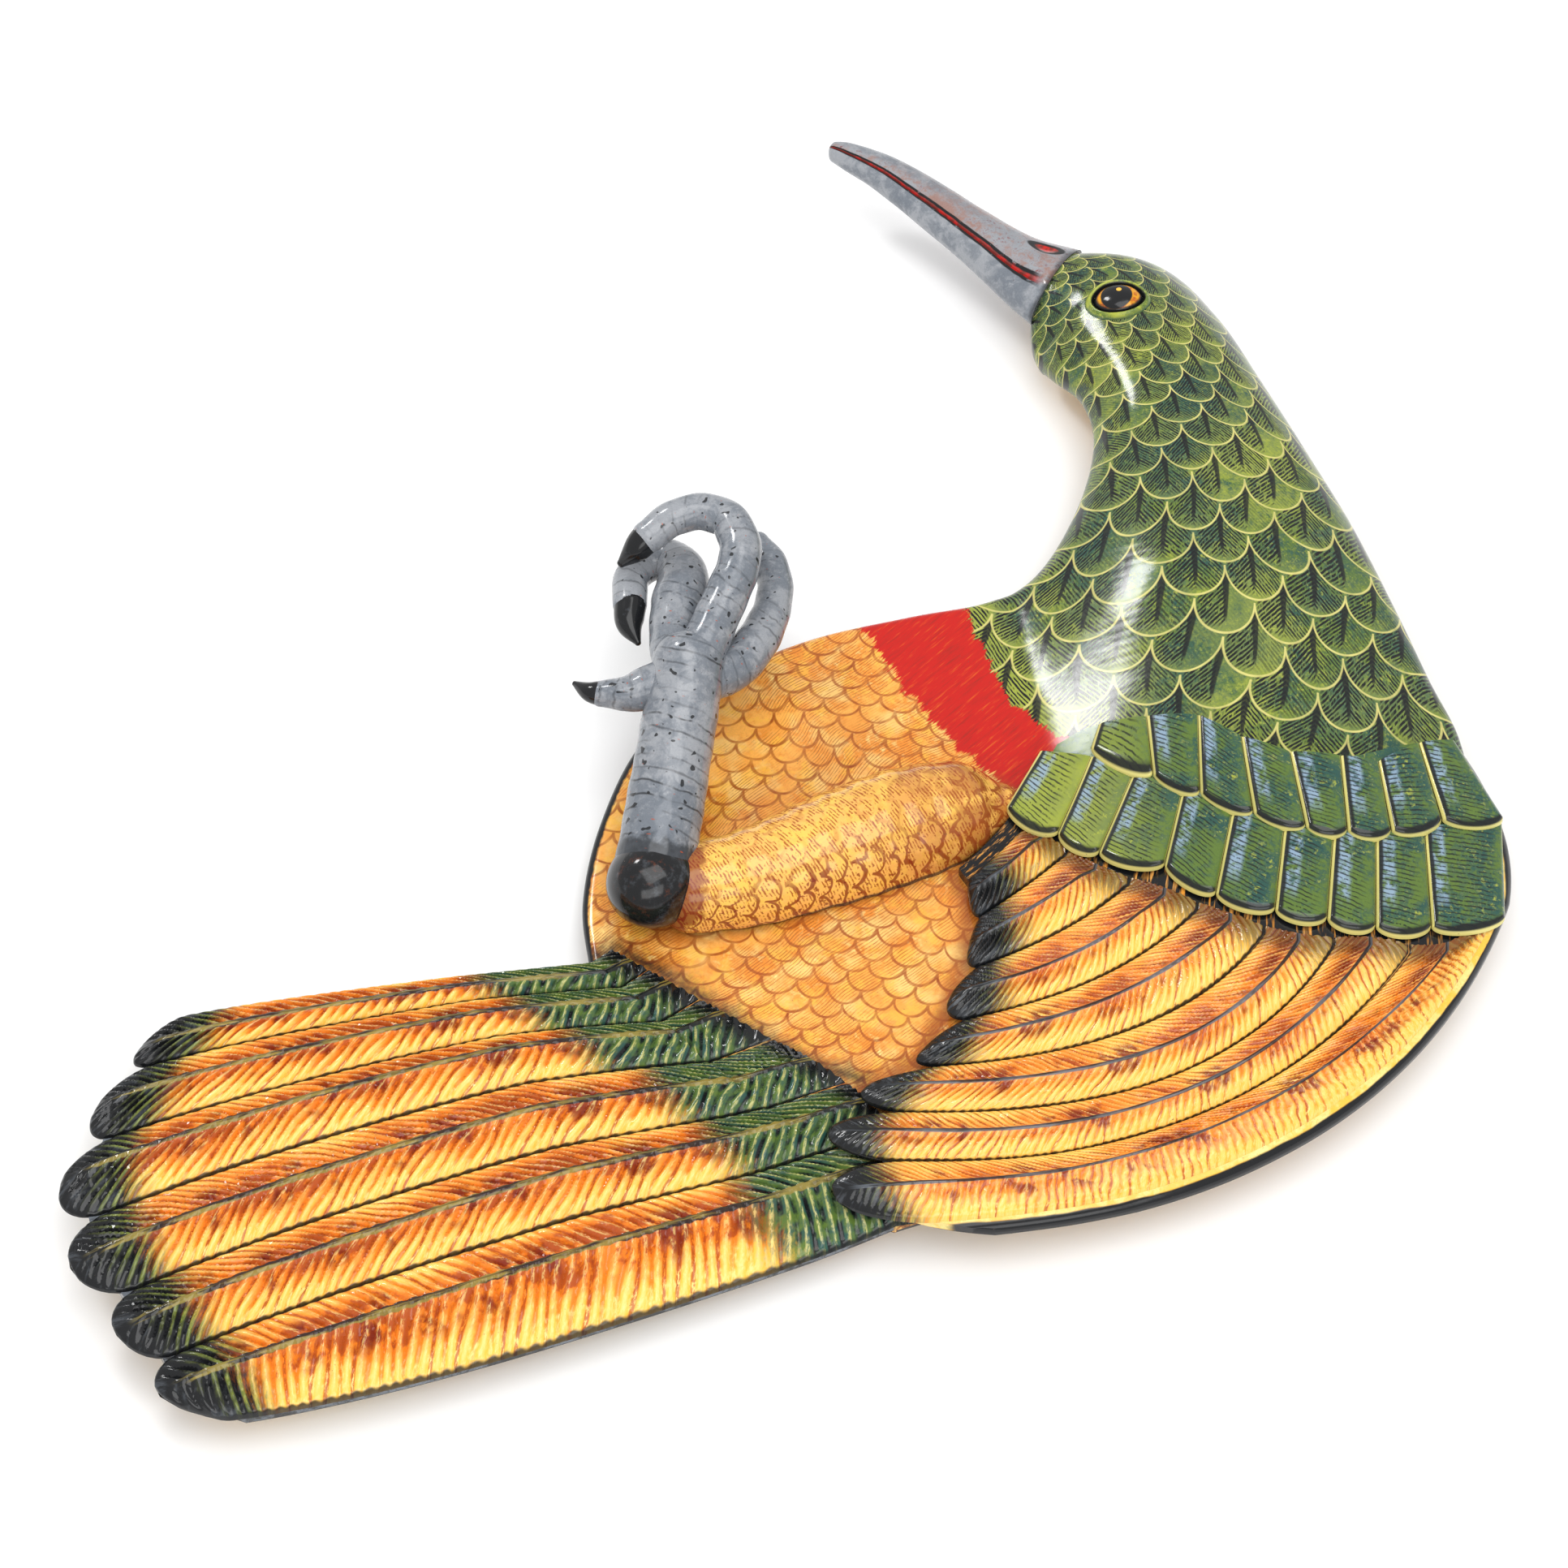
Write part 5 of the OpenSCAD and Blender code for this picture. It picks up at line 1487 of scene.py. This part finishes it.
KNEE_AT = (-52.0, -76.0)
ANKLE_AT = (-40.0, -1.0)
TOES = {
    "middle": [(2, -4, 1, 1.15), (5, 4, 3, 1.1), (11, 18, 7, 1.02), (16, 30, 11, 1),
               (17, 39, 13, 0.98), (13, 49, 14, 0.9), (4, 53, 14, 0.86), (-6, 51, 13, 0.84),
               (-15, 45, 10, 0.76)],
    "inner": [(-4, -2, -1, 1.1), (-6, 12, -3, 1.1), (-4, 27, -5, 1.3), (-3, 41, -7, 1.2),
              (-8, 50, -9, 1), (-16, 48, -9, 0.85), (-21, 40, -8, 0.85), (-21, 29, -7, 0.78)],
    "outer": [(7, -4, -5, 1.05), (15, 2, -7, 1.05), (22, 11, -6, 1), (27, 23, -6, 0.9),
              (29, 35, -6, 0.85), (27, 46, -6, 0.8), (22, 54, -6, 0.72)],
    "hind": [(-4, -5, -2, 1.05), (-15, -10, -3, 0.98), (-22, -12, -3, 0.8), (-30, -12, -3, 0.6)],
}
CLAWS = {
    "middle": [(-15, 45, 10, 0.74), (-19, 42, 7, 0.62), (-24, 39, 3, 0.2)],
    "inner": [(-21, 29, -7, 0.76), (-21, 21, -8, 0.62), (-18, 14, -9, 0.15)],
    "hind": [(-30, -12, -3, 0.58), (-34, -11, -3, 0.45), (-39, -7, -4, 0.12)],
}


def by_ankle(k, points):
    """Limb points beside the ankle; the last number is a share of the toe's radius."""
    return [(ANKLE_AT[0] + x, ANKLE_AT[1] + y, k.ankle_height + z, r * k.toe_diameter / 2)
            for x, y, z, r in points]


def limb_sheet(path, steps, sides, wave=0.12, clamp=None):
    """A closed round limb, its own unevenness growing with wave."""

    def swell(run, angle):
        return wave * (np.sin(run * 0.55 + angle) + 0.7 * np.sin(run * 0.23 - 2 * angle + 1.0))

    points, run, angle = limb(path, steps, sides, swell)
    maps = {"limb": (run, angle)}
    if clamp:
        floor = clamp(points[..., 0], points[..., 1])
        points[..., 2] = np.maximum(points[..., 2], floor)
        maps["lift"] = (points[..., 2] - floor, 0)
    sheet = Sheet()
    sheet.grid(points, maps)
    return sheet


def shin_path(k):
    """Points and radii from the knee up to the ankle."""
    (ax, ay), (bx, by) = KNEE_AT, ANKLE_AT
    r = k.shin_diameter / 2
    return [(ax, ay, k.knee_height, 1.1 * r),
            ((ax + bx) / 2, (ay + by) / 2, (k.knee_height + k.ankle_height) / 2, 1.04 * r),
            (bx, by, k.ankle_height, r)]


def thigh_path(k):
    """Points and radii from under the wing to the knee."""
    flat, r = k.foot_height + k.body_thick, k.thigh_diameter / 2
    shape = [(66, -34, 0, 0.45), (52, -37, 1, 0.95), (28, -46, 2, 1.1), (4, -57, 4, 1.02),
             (-20, -68, 7, 0.88), (KNEE_AT[0] + 12, KNEE_AT[1] + 2, 10, 0.8)]
    return [(x, y, flat + z, share * r) for x, y, z, share in shape]


def knee(k):
    """A pressed ball with thumb marks."""
    turn, rise = np.meshgrid(np.linspace(0, 2 * np.pi, 97), np.linspace(-np.pi / 2, np.pi / 2, 60),
                             indexing="ij")
    dent = 0.35 * np.sin(2 * turn + 0.6) * np.cos(rise) + 0.3 * np.sin(3 * turn + 3 * rise)
    r = k.knee_diameter / 2 - 0.3 + dent * np.cos(rise)
    points = np.dstack([KNEE_AT[0] + r * np.cos(rise) * np.cos(turn),
                        KNEE_AT[1] + r * np.cos(rise) * np.sin(turn),
                        k.knee_height + r * np.sin(rise)])
    sheet = Sheet()
    sheet.grid(points, {})
    return sheet


# ---------------------------------------------------------------- operators

class BIRD_OT_trunk(bpy.types.Operator):
    """Body sheet, neck and head"""
    bl_idname = "bird.trunk"
    bl_label = "Body, neck and head"

    def execute(self, context):
        k, c = in_mm(context.scene.bird_sizes), paints(context)
        paint = body_paint(c)
        body = trunk_piece(k, 0, BODY_END, 232, 212)
        body.build("Body_glazed", paint, ["body_sheet"], "belly_glaze")
        neck = trunk_piece(k, BODY_END, NECK_END, 160, 150)
        neck.build("Neck_glazed", paint, ["neck"], "green_glaze")
        head = trunk_piece(k, NECK_END, HEAD_END, 120, 130)
        head.build("Head_glazed", paint, ["head"], "green_glaze")
        return {"FINISHED"}


class BIRD_OT_foot(bpy.types.Operator):
    """Unglazed foot ring"""
    bl_idname = "bird.foot"
    bl_label = "Foot ring"

    def execute(self, context):
        k, c = in_mm(context.scene.bird_sizes), paints(context)
        foot_ring(k).build("Foot_ring_clay", clay_material(c), ["foot_ring"], "bare_clay")
        return {"FINISHED"}


class BIRD_OT_bill(bpy.types.Operator):
    """Upper and lower bill"""
    bl_idname = "bird.bill"
    bl_label = "Bill"

    def execute(self, context):
        k, c = in_mm(context.scene.bird_sizes), paints(context)
        paint = bill_paint(c)
        bill_half(k, -1, GAPE).build("Bill_upper_glazed", paint, ["bill_upper"], "bill_glaze")
        bill_half(k, GAPE, 1).build("Bill_lower_glazed", paint, ["bill_lower"], "bill_glaze")
        return {"FINISHED"}


class BIRD_OT_eye(bpy.types.Operator):
    """Eyelid and eyeball"""
    bl_idname = "bird.eye"
    bl_label = "Eye"

    def execute(self, context):
        k, c = in_mm(context.scene.bird_sizes), paints(context)
        eyelid(k).build("Eyelid_glazed", lid_paint(c), ["eyelid_ring"], "green_glaze")
        eyeball(k).build("Eyeball_glazed", eye_paint(c), ["eyeball"], "eye_glaze")
        return {"FINISHED"}


class BIRD_OT_tail(bpy.types.Operator):
    """Tail sheet and its six feathers"""
    bl_idname = "bird.tail"
    bl_label = "Tail"

    def execute(self, context):
        k, c = in_mm(context.scene.bird_sizes), paints(context)
        tail_sheet(k).build("Tail_sheet_glazed", tail_sheet_paint(c), ["tail_sheet"], "tail_glaze")
        paint = feather_paint(c, "painted_tail_feathers", True)
        for i in range(TAIL_FEATHERS):
            piece = tail_feather(k, i)
            piece.build(f"Tail_feather_{i + 1}_glazed", paint, [f"tail_feather_{i + 1}"],
                        "tail_glaze")
        return {"FINISHED"}


class BIRD_OT_wing(bpy.types.Operator):
    """Wing sheet and its seven feathers"""
    bl_idname = "bird.wing"
    bl_label = "Wing"

    def execute(self, context):
        k, c = in_mm(context.scene.bird_sizes), paints(context)
        wing_sheet(k).build("Wing_sheet_glazed", wing_sheet_paint(c), ["wing_sheet"], "wing_glaze")
        paint = feather_paint(c, "painted_wing_feathers", False)
        for i in range(PRIMARIES):
            piece = wing_feather(k, i)
            piece.build(f"Wing_feather_{i + 1}_glazed", paint, [f"wing_feather_{i + 1}"],
                        "wing_glaze")
        return {"FINISHED"}


class BIRD_OT_coverts(bpy.types.Operator):
    """Lower and upper covert tiles"""
    bl_idname = "bird.coverts"
    bl_label = "Coverts"

    def execute(self, context):
        k, c = in_mm(context.scene.bird_sizes), paints(context)
        paint = covert_paint(c)
        rows = (("lower", LOWER_HEAD, LOWER_TAIL, LOWER_LIFT),
                ("upper", UPPER_HEAD, UPPER_TAIL, UPPER_LIFT))
        for row, heads, tails, lift in rows:
            for j in range(len(heads) - 1):
                piece = covert(k, heads, tails, j, lift)
                piece.build(f"Covert_{row}_{j + 1}_glazed", paint, [f"{row}_covert_{j + 1}"],
                            "covert_glaze")
        return {"FINISHED"}


class BIRD_OT_leg(bpy.types.Operator):
    """Thigh, knee, shin, toes and claws"""
    bl_idname = "bird.leg"
    bl_label = "Leg"

    def execute(self, context):
        k, c = in_mm(context.scene.bird_sizes), paints(context)
        thigh = limb_sheet(thigh_path(k), 120, 72, 0.2, lambda x, y: body_z(k, x, y))
        thigh.build("Thigh_glazed", thigh_paint(c), ["thigh"], "thigh_glaze")
        knee(k).build("Knee_glazed", knee_paint(c), ["knee"], "knee_glaze")
        paint = leg_paint(c, "painted_shin", 1.0)
        limb_sheet(shin_path(k), 90, 64).build("Shin_glazed", paint, ["shin"], "leg_glaze")
        paint = leg_paint(c, "painted_toes", 0.6)
        for name, points in TOES.items():
            toe = limb_sheet(by_ankle(k, points), 110, 48)
            toe.build(f"Toe_{name}_glazed", paint, [f"toe_{name}"], "leg_glaze")
        paint = claw_paint(c)
        for name, points in CLAWS.items():
            claw = limb_sheet(by_ankle(k, points), 50, 36, 0.04)
            claw.build(f"Claw_{name}_glazed", paint, [f"claw_{name}"], "claw_glaze")
        return {"FINISHED"}


def area_light(name, at, aim, width, height, power):
    """A soft rectangular light aimed at a point; places in metres."""
    lamp = bpy.data.lights.new(name, "AREA")
    lamp.shape = "RECTANGLE"
    lamp.size, lamp.size_y, lamp.energy = width, height, power
    made = bpy.data.objects.new(name, lamp)
    made.location = at
    made.rotation_euler = (Vector(aim) - Vector(at)).to_track_quat("-Z", "Y").to_euler()
    bpy.context.scene.collection.objects.link(made)
    return made


FLOOR_REACH = 12.0
CAMERA_AIM = Vector((-0.006, -0.0275, 0.025))
CAMERA_AWAY, CAMERA_TILT, CAMERA_LENS = 1.4, math.radians(55), 94.44
NECK_MIDDLE = Vector((0.118, 0.044, 0.035))


class BIRD_OT_stage(bpy.types.Operator):
    """Floor, lights, world and camera"""
    bl_idname = "bird.stage"
    bl_label = "Stage"

    def execute(self, context):
        scene = context.scene
        mesh = bpy.data.meshes.new("Stage_floor")
        far = FLOOR_REACH
        mesh.from_pydata([(-far, -far, 0), (far, -far, 0), (far, far, 0), (-far, far, 0)], [],
                         [(0, 1, 2, 3)])
        floor = bpy.data.objects.new("Stage_floor", mesh)
        scene.collection.objects.link(floor)
        pale = bpy.data.materials.new("stage_floor")
        pale.use_nodes = True
        shader = pale.node_tree.nodes["Principled BSDF"]
        shader.inputs["Base Color"].default_value = (0.93, 0.93, 0.93, 1)
        shader.inputs["Roughness"].default_value = 0.9
        shader.inputs["Specular IOR Level"].default_value = 0.0
        mesh.materials.append(pale)
        world = bpy.data.worlds.new("Stage_world")
        world.use_nodes = True
        back = world.node_tree.nodes["Background"]
        back.inputs["Color"].default_value = (1, 1, 1, 1)
        back.inputs["Strength"].default_value = 0.72
        scene.world = world
        window_at = NECK_MIDDLE + Vector((-0.58, 0.45, 0.69)) * 1.6
        lights = [
            area_light("Stage_window", window_at, NECK_MIDDLE, 0.26, 0.26, 5.6),
            area_light("Stage_top", (0.3, -0.5, 2.2), (0, 0, 0), 1.8, 1.8, 30),
            area_light("Stage_near", (0.3, -2.0, 1.2), (0, 0, 0), 1.8, 0.8, 12),
        ]
        camera = bpy.data.cameras.new("Stage_camera")
        camera.lens, camera.sensor_width = CAMERA_LENS, 36.0
        camera.dof.use_dof = False
        eye = bpy.data.objects.new("Stage_camera", camera)
        out = Vector((0, -math.cos(CAMERA_TILT), math.sin(CAMERA_TILT)))
        eye.location = CAMERA_AIM + CAMERA_AWAY * out
        eye.rotation_euler = (CAMERA_AIM - eye.location).to_track_quat("-Z", "Y").to_euler()
        scene.collection.objects.link(eye)
        scene.camera = eye
        scene.view_settings.view_transform = "Standard"
        return {"FINISHED"}


STEPS = (BIRD_OT_trunk, BIRD_OT_foot, BIRD_OT_bill, BIRD_OT_eye, BIRD_OT_tail, BIRD_OT_wing,
         BIRD_OT_coverts, BIRD_OT_leg, BIRD_OT_stage)


class BIRD_PT_panel(bpy.types.Panel):
    """Sizes, colours and building steps of the bird dish"""
    bl_label = "Ceramic Bird Dish"
    bl_idname = "BIRD_PT_panel"
    bl_space_type = "VIEW_3D"
    bl_region_type = "UI"
    bl_category = "Bird Dish"

    def draw(self, context):
        layout = self.layout
        for settings in (context.scene.bird_sizes, context.scene.bird_colours):
            box = layout.box()
            for name in settings.__annotations__:
                box.prop(settings, name)
        for step in STEPS:
            layout.operator(step.bl_idname)


CLASSES = (BIRD_PG_sizes, BIRD_PG_colours, *STEPS, BIRD_PT_panel)


def register():
    for item in CLASSES:
        bpy.utils.register_class(item)
    bpy.types.Scene.bird_sizes = PointerProperty(type=BIRD_PG_sizes)
    bpy.types.Scene.bird_colours = PointerProperty(type=BIRD_PG_colours)


def unregister():
    del bpy.types.Scene.bird_colours
    del bpy.types.Scene.bird_sizes
    for item in reversed(CLASSES):
        bpy.utils.unregister_class(item)


def main():
    """Builds every piece and the stage."""
    register()
    for step in STEPS:
        family, name = step.bl_idname.split(".")
        getattr(getattr(bpy.ops, family), name)()


if __name__ == "__main__":
    main()
